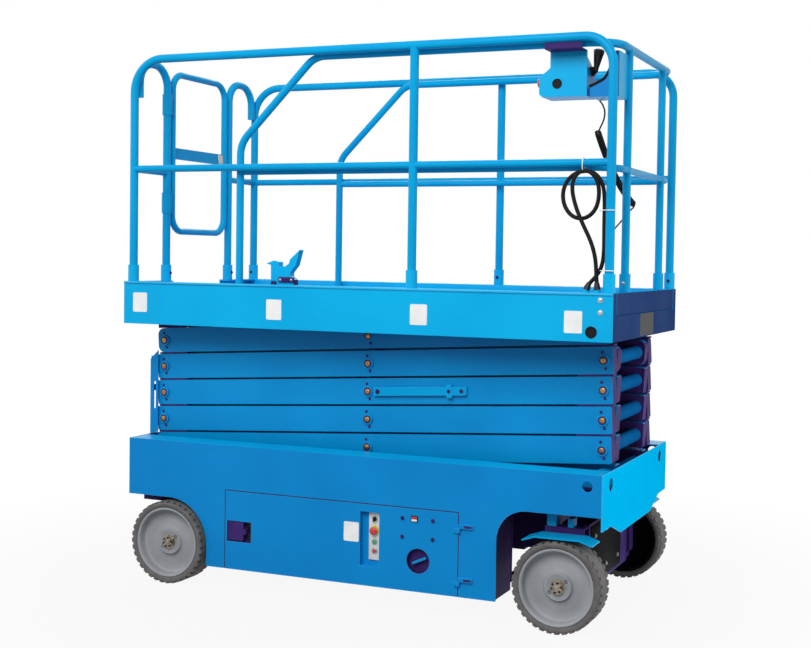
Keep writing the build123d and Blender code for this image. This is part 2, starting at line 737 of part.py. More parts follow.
def lift_cylinder():
    start = (mid_pin_x, level(0.5))
    pin = rod_pin_place()
    reach = sqrt((pin[0] - start[0]) ** 2 + (pin[1] - start[1]) ** 2)
    slope = atan2(pin[1] - start[1], pin[0] - start[0])

    def on_axis(u):
        return (start[0] + u * cos(slope), 0, start[1] + u * sin(slope))

    barrel = rod_y(*start, barrel_eye_r, -barrel_half_eye, barrel_half_eye)
    barrel_end = reach - rod_eye_r - rod_show
    barrel += strut(on_axis(barrel_eye_r * 0.6), on_axis(barrel_end - barrel_neck), barrel_r)
    barrel += strut(on_axis(barrel_end - barrel_neck), on_axis(barrel_end), barrel_r - 8)
    barrel -= rod_y(*start, cross_tube_r + running_gap, -barrel_half_eye - 1, barrel_half_eye + 1)
    barrel -= strut(on_axis(barrel_eye_r + bore_back), on_axis(reach), rod_r + running_gap)
    rod = strut(on_axis(barrel_eye_r + rod_back), on_axis(reach - rod_eye_r * 0.6), rod_r)
    rod += rod_y(*pin, rod_eye_r, -rod_half_eye, rod_half_eye)
    return barrel, rod


def make_stack():
    for i in range(1, stages + 1):
        bars, pins = outer_arms(i)
        save(f"outer_arms_{i}", *bars)
        save(f"pins_{i}", *pins)
        save(f"inner_frame_{i}", inner_frame(i))
    save("safety_prop", safety_prop())
    barrel, rod = lift_cylinder()
    save("lift_barrel", barrel)
    save("lift_rod", rod)


# Platform
def post_places():
    places = [(rail_rear_x, rail_y), (rail_mid_x, rail_y), (rail_front_x, rail_y), (rail_rear_x, gate_post_y)]
    return places + [(x, -y) for x, y in places]


def deck():
    front_inner = deck_half_len - deck_skin
    floor_bottom = deck_floor_top - deck_floor_t
    inner_w = deck_half_w - deck_skin
    body = block(-front_inner, front_inner, -inner_w, inner_w, floor_bottom, deck_floor_top)
    body += block(front_inner, deck_half_len, -deck_half_w, deck_half_w, deck_bottom, deck_beam_top)
    body += block(-deck_half_len, -front_inner, -deck_half_w, deck_half_w, deck_bottom, deck_floor_top)
    for side in (-1, 1):
        skin_y = (side * inner_w, side * deck_half_w)
        lip_y = (side * (deck_half_w - deck_lip_w), side * deck_half_w)
        body += block(-deck_half_len, deck_half_len, *skin_y, deck_bottom, deck_top)
        body += block(-deck_half_len, deck_half_len, *lip_y, deck_top - deck_skin, deck_top)
        body += block(-deck_half_len, deck_half_len, side * (deck_half_w - deck_flange_w), side * deck_half_w,
                      deck_bottom, deck_bottom + deck_skin)
        body += block(front_inner, deck_half_len, *lip_y, deck_bottom, deck_top)
        body += block(-deck_half_len, -front_inner, side * rear_entry_half, side * deck_half_w, deck_bottom, deck_top)
        body += block(-deck_half_len, rail_rear_x + socket_r, side * rear_entry_half, side * deck_half_w,
                      deck_top - deck_skin, deck_top)
        stiff = side * deck_stiffener_y
        body += block(-front_inner, front_inner, stiff, stiff + deck_skin, deck_bottom + deck_skin, floor_bottom)
        for share in deck_rib_shares:
            x = share * deck_half_len
            body += block(x, x + deck_skin, stiff, side * inner_w, deck_bottom + 40, floor_bottom)
        y0, y1 = side * (outer_lane[0] + 2), side * (outer_lane[1] - 2)
        eye = rod_y(rear_pin_x, level(stages), platform_eye_r, y0, y1)
        eye += block(rear_pin_x - platform_eye_r, rear_pin_x + platform_eye_r, y0, y1, level(stages), floor_bottom)
        body += eye - rod_y(rear_pin_x, level(stages), pin_r + running_gap, y0, y1)
        body += block(deck_track_rear_x, front_pin_x + roller_r + 20, side * (inner_lane[0] + 2), side * (inner_lane[1] - 2),
                      level(stages) + roller_r + seat_gap, floor_bottom)
    for x, y in post_places():
        body += rod_z(x, y, socket_r, deck_top, deck_top + socket_h)
        body -= rod_z(x, y, rail_r + seat_gap, deck_top, deck_top + socket_h)
    for point in (cable_points[0], cable_points[-1]):
        body += rod_z(point[0], point[1], gland_r, deck_top, deck_top + gland_h)
    return body


def side_rail(side):
    y = side * rail_y
    corners = (
        (rail_rear_x, y, deck_top), (rail_rear_x, y, rail_top), (rail_front_x, y, rail_top), (rail_front_x, y, deck_top),
    )
    rail = bent_tube(corners, [rail_rear_bend, rail_front_bend], rail_r)
    rail += strut((rail_rear_x, y, mid_rail_z), (rail_front_x, y, mid_rail_z), mid_rail_r)
    return rail + strut((rail_mid_x, y, deck_top), (rail_mid_x, y, rail_top), rail_r)


def rear_rail(side):
    leg_y = side * (rail_y - 2 * rail_r - seat_gap)
    corners = (
        (rail_rear_x, side * gate_post_y, deck_top), (rail_rear_x, side * gate_post_y, rail_top),
        (rail_rear_x, leg_y, rail_top), (rail_rear_x, leg_y, rear_leg_end),
    )
    rail = bent_tube(corners, rear_arch_bend, rail_r)
    end_y = side * (rail_y - rail_r - seat_gap)
    return rail + strut((rail_rear_x, side * gate_post_y, mid_rail_z), (rail_rear_x, end_y, mid_rail_z), mid_rail_r)


def gate():
    x = rail_rear_x
    z0, z1 = gate_z
    corners = ((x, -gate_half_w, z0), (x, gate_half_w, z0), (x, gate_half_w, z1), (x, -gate_half_w, z1))
    body = bent_tube(corners, gate_bend, mid_rail_r, closed=True)
    body += block(x - gate_bar_t / 2, x + gate_bar_t / 2, -gate_half_w, gate_half_w, *gate_bar_z)
    for low in gate_sleeve_lows:
        high = low + gate_sleeve_len
        body += rod_z(x, -gate_post_y, gate_sleeve_r, low, high)
        body += block(x - gate_bar_t / 2, x + gate_bar_t / 2, -gate_post_y, -gate_half_w, low + 10, high - 10)
        body -= rod_z(x, -gate_post_y, rail_r + running_gap, low, high)
    return body


def control_box():
    y0, y1 = -box_y[1], -box_y[0]
    x0, x1 = box_x
    z0, z1 = box_z
    hanger_top = rail_top - rail_r - seat_gap
    outline = (
        (box_bulge_x + box_foot, z0), (x1, z0), (x1, z1 - box_slope[1]), (x1 - box_slope[0], z1), (x0, z1),
        (x0, z0 + box_bulge_rise[1]), (box_bulge_x, z0 + box_bulge_rise[0]), (box_bulge_x, z0 + box_foot),
    )
    body = plate_y(outline, y0, y1)
    near_y, far_y = -rail_y - box_hanger_t / 2, -rail_y + box_hanger_t / 2
    body += block(x0, x1, y0, y0 + box_sheet, z0, box_hanger_z)
    body += block(x0, x1, near_y, y0 + box_sheet, box_hanger_z, box_hanger_z + box_sheet)
    return body + block(x0, x1, near_y, far_y, box_hanger_z, hanger_top)


def control_levers():
    y = -(box_y[0] + box_y[1]) / 2
    z0, z1 = box_z
    stop_z = z0 + stop_rise
    neck_x = box_bulge_x - stop_lengths[0]
    stop = rod_x(y, stop_z, stop_r / 2, neck_x, box_bulge_x)
    stop += rod_x(y, stop_z, stop_r, box_bulge_x - stop_lengths[1], neck_x)
    face_x = box_x[1]
    boot = strut((face_x, y, z1 - boot_drop), (face_x + boot_len, y, z1 - boot_drop), boot_r)
    boot += strut((face_x + grip_x[0], y, z1 - grip_drop[0]), (face_x + grip_x[1], y, z1 - grip_drop[1]), grip_r)
    return stop, boot


def document_box():
    y0, y1 = -document_y[1], -document_y[0]
    x0, x1 = document_x
    z0, z1 = document_z
    wall = document_wall
    bend_x, bend_z = document_bend
    outline = (
        (x0, z0), (x1, z0), (x1, z1), (x1 - document_lip, z1), (x1 - bend_x, bend_z), (x0, document_low),
    )
    body = plate_y(outline, y0, y1)
    return body - block(x0 + wall, x1 - wall, y0 + wall, y1 - wall, z0 + wall, z1 + wall)


# Roll-out extension
def extension_deck():
    front = deck_half_len - deck_skin
    body = block(ext_rear_x, front, -ext_half_w, ext_half_w, ext_floor_bottom, ext_floor_top)
    body += block(front, deck_half_len, -toe_half_w, toe_half_w, toe_bottom, deck_top)
    for side in (-1, 1):
        body += block(ext_rear_x, front, side * ext_pad_y[0], side * ext_pad_y[1], ext_floor_bottom - ext_pad_t,
                      ext_floor_bottom)
        body += block(ext_rear_x, front, side * (ext_half_w - ext_lip_w), side * ext_half_w, ext_floor_top,
                      ext_floor_top + ext_lip_h)
    return body


def extension_rails():
    brace_run = ext_rail_top - ext_brace_z
    half = (
        (ext_brace_x, ext_floor_top + ext_lip_h), (ext_brace_x, ext_brace_z), (ext_brace_x + brace_run, ext_rail_top),
        (ext_front_x, ext_rail_top),
    )
    top = [(x, -ext_rail_y, z) for x, z in half] + [(x, ext_rail_y, z) for x, z in reversed(half)]
    rails = bent_tube(top, ext_bend, ext_rail_r)
    middle = (
        (ext_brace_x, -ext_rail_y, ext_mid_z), (ext_front_x, -ext_rail_y, ext_mid_z),
        (ext_front_x, ext_rail_y, ext_mid_z), (ext_brace_x, ext_rail_y, ext_mid_z),
    )
    rails += bent_tube(middle, ext_bend, mid_rail_r - 1)
    for side in (-1, 1):
        y = side * ext_post_y
        rails += strut((ext_front_x, y, ext_floor_top), (ext_front_x, y, ext_rail_top), ext_rail_r)
    return rails


def pedal():
    y0, y1 = -pedal_y[1], -pedal_y[0]
    return plate_y([(pedal_x + x, ext_floor_top + z) for x, z in pedal_outline], y0, y1)


# Cords
def cord_radii(points):
    radii = []
    for a, b, c in zip(points, points[1:], points[2:]):
        before, after = Vector(*b) - Vector(*a), Vector(*c) - Vector(*b)
        turn = radians(before.get_angle(after))
        radii.append(0.45 * min(before.length, after.length) / tan(turn / 2))
    return radii


def cord(name, points, r):
    radii = cord_radii(points)
    solid = bent_tube(points, radii, r)
    length = solid.volume / (pi * r * r)
    print(name, "length", round(length), "radii", [round(v) for v in radii])
    save(name, solid)


def make_platform():
    save("deck", deck())
    for tag, side in SIDES:
        save(f"side_rail_{tag}", side_rail(side))
    save("rear_rails", rear_rail(-1), rear_rail(1))
    save("gate", gate())
    save("control_box", control_box())
    save("control_levers", *control_levers())
    save("extension_deck", extension_deck())
    save("extension_rails", extension_rails())
    save("document_box", document_box())
    save("pedal", pedal())
    cord("power_cable", cable_points, cable_r)
    cord("control_lead_in", lead_in_points, lead_r)
    cord("control_curl", curly_points, curly_r)
    cord("control_lead_out", lead_out_points, lead_r)


os.makedirs("parts", exist_ok=True)
make_wheels()
make_chassis()
make_modules()
make_stack()
make_platform()
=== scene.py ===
import bpy
import json
import math
from mathutils import Matrix, Vector


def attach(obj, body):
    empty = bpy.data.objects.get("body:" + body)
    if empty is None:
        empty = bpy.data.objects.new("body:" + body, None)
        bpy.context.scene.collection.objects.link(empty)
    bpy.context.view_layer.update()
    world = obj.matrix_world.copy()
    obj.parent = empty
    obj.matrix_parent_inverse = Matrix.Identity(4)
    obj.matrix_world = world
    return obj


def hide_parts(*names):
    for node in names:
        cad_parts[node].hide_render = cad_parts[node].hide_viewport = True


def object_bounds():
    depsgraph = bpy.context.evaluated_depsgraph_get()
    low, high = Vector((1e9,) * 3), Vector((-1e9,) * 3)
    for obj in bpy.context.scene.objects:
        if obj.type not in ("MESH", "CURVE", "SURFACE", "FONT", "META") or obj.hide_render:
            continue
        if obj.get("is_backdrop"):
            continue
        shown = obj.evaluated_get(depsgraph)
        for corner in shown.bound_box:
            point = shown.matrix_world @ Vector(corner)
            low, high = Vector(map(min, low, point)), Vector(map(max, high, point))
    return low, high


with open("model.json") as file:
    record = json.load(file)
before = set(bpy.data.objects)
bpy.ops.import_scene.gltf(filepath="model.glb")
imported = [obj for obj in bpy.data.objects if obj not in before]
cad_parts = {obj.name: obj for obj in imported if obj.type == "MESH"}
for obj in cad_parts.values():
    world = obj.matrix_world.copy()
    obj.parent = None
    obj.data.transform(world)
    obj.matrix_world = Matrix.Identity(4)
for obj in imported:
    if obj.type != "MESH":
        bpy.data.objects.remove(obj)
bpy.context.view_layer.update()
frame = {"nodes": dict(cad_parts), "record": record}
nodes = frame["nodes"]
record = frame["record"]
bodyOf = {node: body for body, members in record["behaviour"]["bodies"].items() for node in members}
sides = {"r": -1, "l": 1}
print("frame loaded:", len(nodes), "nodes")


def mm(*values):
    return Vector([v / 1000 for v in values])


# camera at the photograph's own place, solved from the machine's straight edges
cameraView = {
    "place": (2.5308, -5.5598, 1.5257), "yaw": 22.618, "pitch": 2.1045, "roll": 0.8946,
    "focal": 1289.49, "centre": (444.52, 305.25), "picture": (811, 648), "sensor": 36.0,
}


def placeCamera(look):
    yaw, pitch, roll = (math.radians(look[k]) for k in ("yaw", "pitch", "roll"))
    forward = Vector((-math.sin(yaw) * math.cos(pitch), math.cos(yaw) * math.cos(pitch), -math.sin(pitch)))
    right = Vector((math.cos(yaw), math.sin(yaw), 0))
    up = right.cross(forward)
    across = right * math.cos(roll) + up * math.sin(roll)
    above = up * math.cos(roll) - right * math.sin(roll)
    wide, high = look["picture"]
    data = bpy.data.cameras.new("photoCamera")
    data.sensor_width = look["sensor"]
    data.lens = look["focal"] * look["sensor"] / wide
    data.shift_x = (wide / 2 - look["centre"][0]) / wide
    data.shift_y = (look["centre"][1] - high / 2) / wide
    camera = bpy.data.objects.new("photoCamera", data)
    bpy.context.scene.collection.objects.link(camera)
    turn = Matrix((across, above, -forward)).transposed().to_4x4()
    camera.matrix_world = Matrix.Translation(Vector(look["place"])) @ turn
    bpy.context.scene.camera = camera


placeCamera(cameraView)
bpy.context.scene.view_settings.view_transform = "Standard"


# materials
toneStops = (0.36, 0.64)
speckFade = 0.08
roughSpan = (0.3, 0.7)
bumpDepth = 0.001


def hexColour(code):
    parts = [int(code[i:i + 2], 16) / 255 for i in (1, 3, 5)]
    return [c / 12.92 if c <= 0.04045 else ((c + 0.055) / 1.055) ** 2.4 for c in parts] + [1.0]


def addNode(tree, kind, values=None, links=None, **settings):
    node = tree.nodes.new(kind)
    for key, value in settings.items():
        setattr(node, key, value)
    for key, value in (values or {}).items():
        node.inputs[key].default_value = value
    for key, socket in (links or {}).items():
        tree.links.new(socket, node.inputs[key])
    return node


def makeFinish(name, look):
    finish = bpy.data.materials.new(name)
    finish.use_nodes = True
    tree = finish.node_tree
    shader = tree.nodes["Principled BSDF"]
    place = addNode(tree, "ShaderNodeTexCoord").outputs["Object"]

    def noise(sizeMm, **more):
        values = {"Scale": 1000 / sizeMm, **more}
        return addNode(tree, "ShaderNodeTexNoise", values, {"Vector": place}).outputs["Fac"]

    # broad patches of tone
    tone = addNode(tree, "ShaderNodeValToRGB", links={"Fac": noise(look["patchMm"], Detail=3.0)})
    for stop, at, key in zip(tone.color_ramp.elements, toneStops, ("deep", "bright")):
        stop.position = at
        stop.color = hexColour(look[key])
    # small rubbed spots: dust on paint, scuffs on rubber, tarnish on metal
    speck = noise(look["speckMm"], Detail=9.0, Roughness=0.72)
    start = look["speckFrom"]
    span = {"From Min": start, "From Max": start + speckFade, "To Max": look["speckShare"]}
    spots = addNode(tree, "ShaderNodeMapRange", span, {"Value": speck})
    worn = addNode(tree, "ShaderNodeMix", {7: hexColour(look["worn"])},
                   {0: spots.outputs["Result"], 6: tone.outputs["Color"]}, data_type="RGBA")
    tree.links.new(worn.outputs[2], shader.inputs["Base Color"])
    low, high = look["rough"]
    span = {"From Min": roughSpan[0], "From Max": roughSpan[1], "To Min": low, "To Max": high}
    rough = addNode(tree, "ShaderNodeMapRange", span, {"Value": speck})
    tree.links.new(rough.outputs["Result"], shader.inputs["Roughness"])
    bump = addNode(tree, "ShaderNodeBump", {"Strength": look["bump"], "Distance": bumpDepth},
                   {"Height": noise(look["grainMm"], Detail=4.0)})
    tree.links.new(bump.outputs["Normal"], shader.inputs["Normal"])
    shader.inputs["Metallic"].default_value = look.get("metallic", 0.0)
    shader.inputs["Coat Weight"].default_value = look.get("coat", 0.0)
    shader.inputs["Specular IOR Level"].default_value = look.get("shine", 0.5)
    if "ior" in look:
        shader.inputs["IOR"].default_value = look["ior"]
    return finish


# polyester powder coat: even sprayed blue with an orange-peel skin, its 2 mm ripple drawn at 5 mm to show
powderCoat = {"patchMm": 420, "speckMm": 9, "speckFrom": 0.7, "speckShare": 0.16, "rough": (0.26, 0.4),
              "grainMm": 5, "bump": 0.05, "ior": 1.5, "shine": 0.14}
# cast and welded steel: rougher, dusty; the dark purple finish made from it is laid on the undercarriage and,
# as painted shade, on faces that stand in shade
underPaintAndShade = {"patchMm": 160, "speckMm": 14, "speckFrom": 0.6, "speckShare": 0.3, "rough": (0.42, 0.62),
              "grainMm": 4, "bump": 0.12, "ior": 1.5, "shine": 0.06}
# moulded ABS: fine matt spark texture, 0.5 mm drawn at 1.2 mm
mouldedAbs = {"patchMm": 60, "speckMm": 5, "speckFrom": 0.72, "speckShare": 0.12, "rough": (0.35, 0.5),
              "grainMm": 1.2, "bump": 0.06, "ior": 1.53}
bareMetal = {"grainMm": 1, "metallic": 1.0}
finishLooks = {
    # painted light and shade: the one blue coat comes in lighter and darker copies by how the light falls on
    # each part, lightest on the deck, then the rails and arms, darkest on the chassis
    "powderCoatDeck": dict(powderCoat, deep="#00A8E0", bright="#02B0E7", worn="#58C2E8"),
    "powderCoatRail": dict(powderCoat, deep="#0099D2", bright="#02A2DA", worn="#4FB6E0", shine=0.09),
    "powderCoatArm": dict(powderCoat, deep="#0087C7", bright="#0290D0", worn="#48A8D6"),
    "powderCoatChassis": dict(powderCoat, deep="#007FC6", bright="#0087CD", worn="#3FA0D6"),
    # painted light: the lightest copy of the blue coat, for the front plate, the deck's inner walls and the
    # extension deck's top edge
    "powderCoatHighlight": dict(powderCoat, deep="#00BEFA", bright="#02C4FE", worn="#58CCF0", shine=0.0),
    # painted shade: the stack's cross tubes, a darker blue for the shade of the arms
    "powderCoatTubeShade": dict(powderCoat, deep="#0E5E9C", bright="#126AAA", worn="#2E86B8", shine=0.0),
    # painted highlight: a lighter blue for rounded edges and the deck's top bead, where the light catches them
    "powderCoatEdgeHighlight": dict(powderCoat, deep="#1AAAE0", bright="#30B4E6", worn="#7CC8EA", rough=(0.34, 0.5)),
    # painted shade: the deck's front faces, deep blue for the shade they stand in
    "powderCoatFrontShade": dict(powderCoat, deep="#2C4272", bright="#344C7E", worn="#4A6290", shine=0.0),
    # dark purple: laid on the undercarriage, and painted shade on the arms' ends and inner faces, the prop's
    # underside, the control box's band, the pin collars and the hinge slots
    "underPaintAndShade": dict(underPaintAndShade, deep="#35235C", bright="#412C6E", worn="#55477A"),
    "blackPaintAndShade": dict(underPaintAndShade, deep="#07060A", bright="#0C0A10", worn="#1C1920", shine=0.02),
    "rimPaint": dict(underPaintAndShade, deep="#909397", bright="#9EA1A5", worn="#76787B", rough=(0.38, 0.55),
                     bump=0.08, shine=0.2),
    # solid press-on rubber: grey with moulding dust and rubbed lugs
    "wheelRubber": dict(deep="#595756", bright="#666463", worn="#85817C", patchMm=45, speckMm=6, speckFrom=0.58,
                        speckShare=0.4, rough=(0.62, 0.82), grainMm=1.6, bump=0.25, shine=0.3),
    # bronze pin: turned face, brown with greased spots
    "bronzePin": dict(bareMetal, deep="#8A6A45", bright="#A27F52", worn="#4A3824", patchMm=18, speckMm=4,
                      speckFrom=0.56, speckShare=0.6, rough=(0.3, 0.5), bump=0.1),
    # plain steel nut: dull, oiled, bronze tinge in its slots
    "oiledSteel": dict(bareMetal, deep="#7E776A", bright="#A39B8A", worn="#4B4335", patchMm=9, speckMm=3,
                       speckFrom=0.55, speckShare=0.6, rough=(0.28, 0.45), bump=0.08),
    # zinc-plated steel: pale, faintly yellow, clouded
    "zincPlate": dict(bareMetal, deep="#98A0A2", bright="#B4BCBC", worn="#7C7C70", patchMm=12, speckMm=4,
                      speckFrom=0.6, speckShare=0.5, rough=(0.25, 0.42), bump=0.05),
    # hard chrome: ground round the rod, near mirror
    "chromeRod": dict(bareMetal, deep="#D5D7DA", bright="#E2E4E6", worn="#AEB2B6", patchMm=30, speckMm=8,
                      speckFrom=0.7, speckShare=0.2, rough=(0.06, 0.14), grainMm=2, bump=0.01),
    "blackAbs": dict(mouldedAbs, deep="#08080A", bright="#0E0E11", worn="#2A2A2C", shine=0.3),
    "redAbs": dict(mouldedAbs, deep="#B51A1C", bright="#C92426", worn="#D96A62", coat=0.3),
    "greenAbs": dict(mouldedAbs, deep="#1C7F45", bright="#259552", worn="#66B688", coat=0.3),
    "yellowAbs": dict(mouldedAbs, deep="#D9B21E", bright="#E5C230", worn="#EBD98A", coat=0.3),
    "greyPanel": dict(mouldedAbs, deep="#D2D1C9", bright="#DEDDD5", worn="#A9A79E"),
    # printed vinyl, left blank: smooth, slightly soiled
    "whiteVinyl": dict(mouldedAbs, deep="#E6E8E8", bright="#F0F1F0", worn="#C2C4C2", rough=(0.3, 0.42),
                       bump=0.02),
    # neoprene cable jacket: matt black with a dull sheen
    "cableRubber": dict(mouldedAbs, deep="#050506", bright="#0A0A0B", worn="#1E1E20", rough=(0.5, 0.65),
                        bump=0.1, shine=0.15),
    "batteryCase": dict(mouldedAbs, deep="#1B1B1E", bright="#242428", worn="#55555A", shine=0.1),
}
finishes = {name: makeFinish(name, look) for name, look in finishLooks.items()}
print("finishes made:", len(finishes))


# modelling helpers
def only(*things):
    bpy.ops.object.select_all(action="DESELECT")
    for thing in things[::-1]:
        thing.select_set(True)
        bpy.context.view_layer.objects.active = thing


def inEdit(thing):
    only(thing)
    bpy.ops.object.mode_set(mode="EDIT")
    bpy.ops.mesh.select_mode(type="VERT")
    bpy.ops.mesh.select_all(action="SELECT")


def outEdit():
    bpy.ops.object.mode_set(mode="OBJECT")


def pickFaces(thing, test):
    outEdit()
    for group in (thing.data.vertices, thing.data.edges):
        group.foreach_set("select", [False] * len(group))
    thing.data.polygons.foreach_set("select", [bool(test(p.center, p.normal)) for p in thing.data.polygons])
    bpy.ops.object.mode_set(mode="EDIT")
    bpy.ops.mesh.select_mode(type="FACE")


def settle(name):
    thing = bpy.context.active_object
    thing.name = name
    only(thing)
    bpy.ops.object.transform_apply(location=True, rotation=True, scale=True)
    return thing


def placed(thing, matrix):
    thing.matrix_world = matrix
    bpy.context.view_layer.update()
    only(thing)
    return settle(thing.name)


def slab(name, low, high, edge, segments=2):
    low, high = Vector(low), Vector(high)
    only()
    bpy.ops.mesh.primitive_cube_add(size=1, location=(low + high) / 2)
    bpy.context.active_object.scale = high - low
    thing = settle(name)
    inEdit(thing)
    bpy.ops.mesh.bevel(offset=edge, segments=segments, affect="EDGES")
    outEdit()
    return thing


def drum(name, corners, radius, depth, place, turn=(0, 0, 0), edge=0):
    only()
    bpy.ops.mesh.primitive_cylinder_add(vertices=corners, radius=radius, depth=depth, location=place,
                                        rotation=turn)
    thing = settle(name)
    if edge:
        inEdit(thing)
        bpy.ops.mesh.bevel(offset=edge, segments=2, affect="EDGES")
        outEdit()
    return thing


def turned(name, rows, origin, axis, steps):
    # rows: radius, distance along the axis
    axis = Vector(axis).normalized()
    aside = axis.orthogonal().normalized()
    points = [Vector(origin) + aside * r + axis * along for r, along in rows]
    only()
    bpy.ops.mesh.primitive_plane_add(size=0.001, location=points[0])
    thing = settle(name)
    inEdit(thing)
    bpy.ops.mesh.merge(type="CENTER")
    for here, there in zip(points, points[1:]):
        bpy.ops.mesh.extrude_region_move(TRANSFORM_OT_translate={"value": there - here})
    bpy.ops.mesh.select_all(action="SELECT")
    bpy.ops.mesh.spin(steps=steps, angle=math.tau, center=Vector(origin), axis=axis)
    bpy.ops.mesh.select_all(action="SELECT")
    bpy.ops.mesh.remove_doubles(threshold=0.00002)
    bpy.ops.mesh.normals_make_consistent(inside=False)
    outEdit()
    return thing


def plate(name, middle, normal, wide, high, thick=0.0012, corner=0.006):
    # an upright plate with round corners, laid on a surface
    normal, up = Vector(normal), Vector((0, 0, 1))
    only()
    bpy.ops.mesh.primitive_plane_add(size=1)
    bpy.context.active_object.scale = (wide, high, 1)
    thing = settle(name)
    inEdit(thing)
    bpy.ops.mesh.bevel(offset=corner, segments=5, affect="VERTICES")
    bpy.ops.mesh.select_all(action="SELECT")
    bpy.ops.mesh.extrude_region_move(TRANSFORM_OT_translate={"value": (0, 0, thick)})
    bpy.ops.mesh.select_all(action="SELECT")
    bpy.ops.mesh.normals_make_consistent(inside=False)
    outEdit()
    turn = Matrix((up.cross(normal), up, normal)).transposed().to_4x4()
    return placed(thing, Matrix.Translation(Vector(middle)) @ turn)


def copyTo(template, name, point, axis, size):
    twin = bpy.data.objects.new(name, template.data.copy())
    bpy.context.scene.collection.objects.link(twin)
    turn = Vector(axis).to_track_quat("Z", "Y").to_matrix().to_4x4()
    return placed(twin, Matrix.Translation(Vector(point)) @ turn @ Matrix.Scale(size, 4))


def joined(name, things):
    only(*things)
    if len(things) > 1:
        bpy.ops.object.join()
    thing = bpy.context.active_object
    thing.name = name
    return thing


def dress(thing, body, finish, angle=35):
    only(thing)
    bpy.ops.object.shade_smooth_by_angle(angle=math.radians(angle))
    if not thing.data.materials:
        thing.data.materials.append(finishes[finish])
    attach(thing, body)


def scatter(name, places, body, finish):
    # a bolt at each row: place, axis, size
    copies = [copyTo(bolt, f"{name}{i}", *row) for i, row in enumerate(places)]
    dress(joined(name, copies), body, finish)


def unitBolt():
    # hex head on a washer whose radius is 1
    washer = drum("washer", 24, 1, 0.16, (0, 0, 0.08))
    head = drum("hexHead", 6, 0.78, 0.56, (0, 0, 0.42), edge=0.07)
    return joined("unitBolt", [head, washer])


bolt = unitBolt()


# cords: the platform's power cable and the control box's curly cord
cableRoute = {
    "points": (
        (1106, -549, 1406), (1101, -550, 1460), (1098, -552, 1530), (1078, -553, 1600), (1040, -553, 1672),
        (1006, -553, 1750), (990, -552, 1826), (1012, -551, 1878), (1060, -549, 1888), (1097, -546, 1850),
        (1106, -542, 1792), (1092, -538, 1728), (1046, -534, 1690), (990, -531, 1698), (952, -528, 1746),
        (945, -525, 1808), (972, -522, 1862), (1024, -521, 1888), (1078, -520, 1880), (1114, -520, 1836),
        (1122, -520, 1764), (1121, -520, 1660), (1123, -520, 1560), (1116, -521, 1500), (1092, -525, 1458),
        (1066, -530, 1432), (1055, -532, 1406),
    ),
    "diameter": 0.017,
}
curlyRoute = {
    "leadIn": (
        (990, -330, 2222), (990, -296, 2222), (1026, -290, 2206), (1058, -300, 2160), (1064, -352, 2104),
    ),
    "curl": ((1056, -416, 2054), (1062, -330, 1975), (1078, -210, 1880), (1098, -70, 1796), (1106, 0, 1775)),
    "leadOut": (
        (1104, -62, 1742), (1098, -150, 1700), (1098, -250, 1668), (1106, -350, 1642), (1116, -430, 1624),
        (1130, -490, 1614), (1141.5, -519, 1610),
    ),
    "diameter": 0.007, "coilRadius": 0.0112, "pitch": 0.0092, "perTurn": 14, "ramp": 1.2, "rampFrom": 0.5,
}
# where the coil runs out: first straight, first step, each step's growth, longest step, distance from the end
easing = {"straight": 0.012, "step": 0.003, "growth": 1.45, "longest": 0.05, "clear": 0.03}


def routeCurve(name, points, depth):
    data = bpy.data.curves.new(name, "CURVE")
    data.dimensions = "3D"
    data.resolution_u = 8
    data.bevel_depth = depth
    data.bevel_resolution = 3
    data.use_fill_caps = depth > 0
    spline = data.splines.new("NURBS")
    spline.points.add(len(points) - 1)
    for knot, point in zip(spline.points, points):
        knot.co = (*point, 1)
    spline.order_u = 3
    spline.use_endpoint_u = True
    thing = bpy.data.objects.new(name, data)
    bpy.context.scene.collection.objects.link(thing)
    return thing


def routeLine(name, points):
    # the spline's own points, read back from a curve with no bevel
    guide = routeCurve(name, points, 0)
    bpy.context.view_layer.update()
    mesh = bpy.data.meshes.new_from_object(guide.evaluated_get(bpy.context.evaluated_depsgraph_get()))
    line = [v.co.copy() for v in mesh.vertices]
    bpy.data.objects.remove(guide)
    return line


def lineLength(line):
    return sum((b - a).length for a, b in zip(line, line[1:]))


def helixAbout(line, route, before, after):
    total = lineLength(line)
    count = int(total / route["pitch"] * route["perTurn"])
    stations, walked, k = [], 0.0, 0
    aside = (line[1] - line[0]).orthogonal().normalized()
    for i in range(count + 1):
        want = total * i / count
        while k < len(line) - 2 and walked + (line[k + 1] - line[k]).length < want:
            walked += (line[k + 1] - line[k]).length
            k += 1
        along = (line[k + 1] - line[k]).normalized()
        aside = (aside - along * aside.dot(along)).normalized()
        stations.append((line[k] + along * (want - walked), aside, along.cross(aside)))
    # the first and last turns point the way the cord comes and goes
    spins = []
    for (_, aside, cross), way in ((stations[0], line[0] - before), (stations[-1], after - line[-1])):
        spins.append(math.atan2(-way.dot(aside), way.dot(cross)))
    part = (spins[1] - spins[0]) / math.tau
    turns = round(total / route["pitch"] - part) + part
    points = []
    for i, (here, aside, cross) in enumerate(stations):
        done = turns * i / count
        spin = spins[0] + math.tau * done
        ends = min(1.0, route["rampFrom"] + min(done, turns - done) / route["ramp"])
        points.append(here + (aside * math.cos(spin) + cross * math.sin(spin)) * route["coilRadius"] * ends)
    return points


def easedLead(name, coil, lead):
    # from the coil outward, each step longer than the last
    run = (coil[0] - coil[1]).normalized()
    line = routeLine(name, [coil[0], coil[0] + run * easing["straight"], *lead])
    points, step, gone = [], easing["step"], 0.0
    for here, there in zip(line, line[1:]):
        gone += (there - here).length
        if gone >= step and (there - lead[-2]).length > easing["clear"]:
            points.append(there)
            gone, step = 0.0, min(step * easing["growth"], easing["longest"])
    return points + list(lead[-2:])


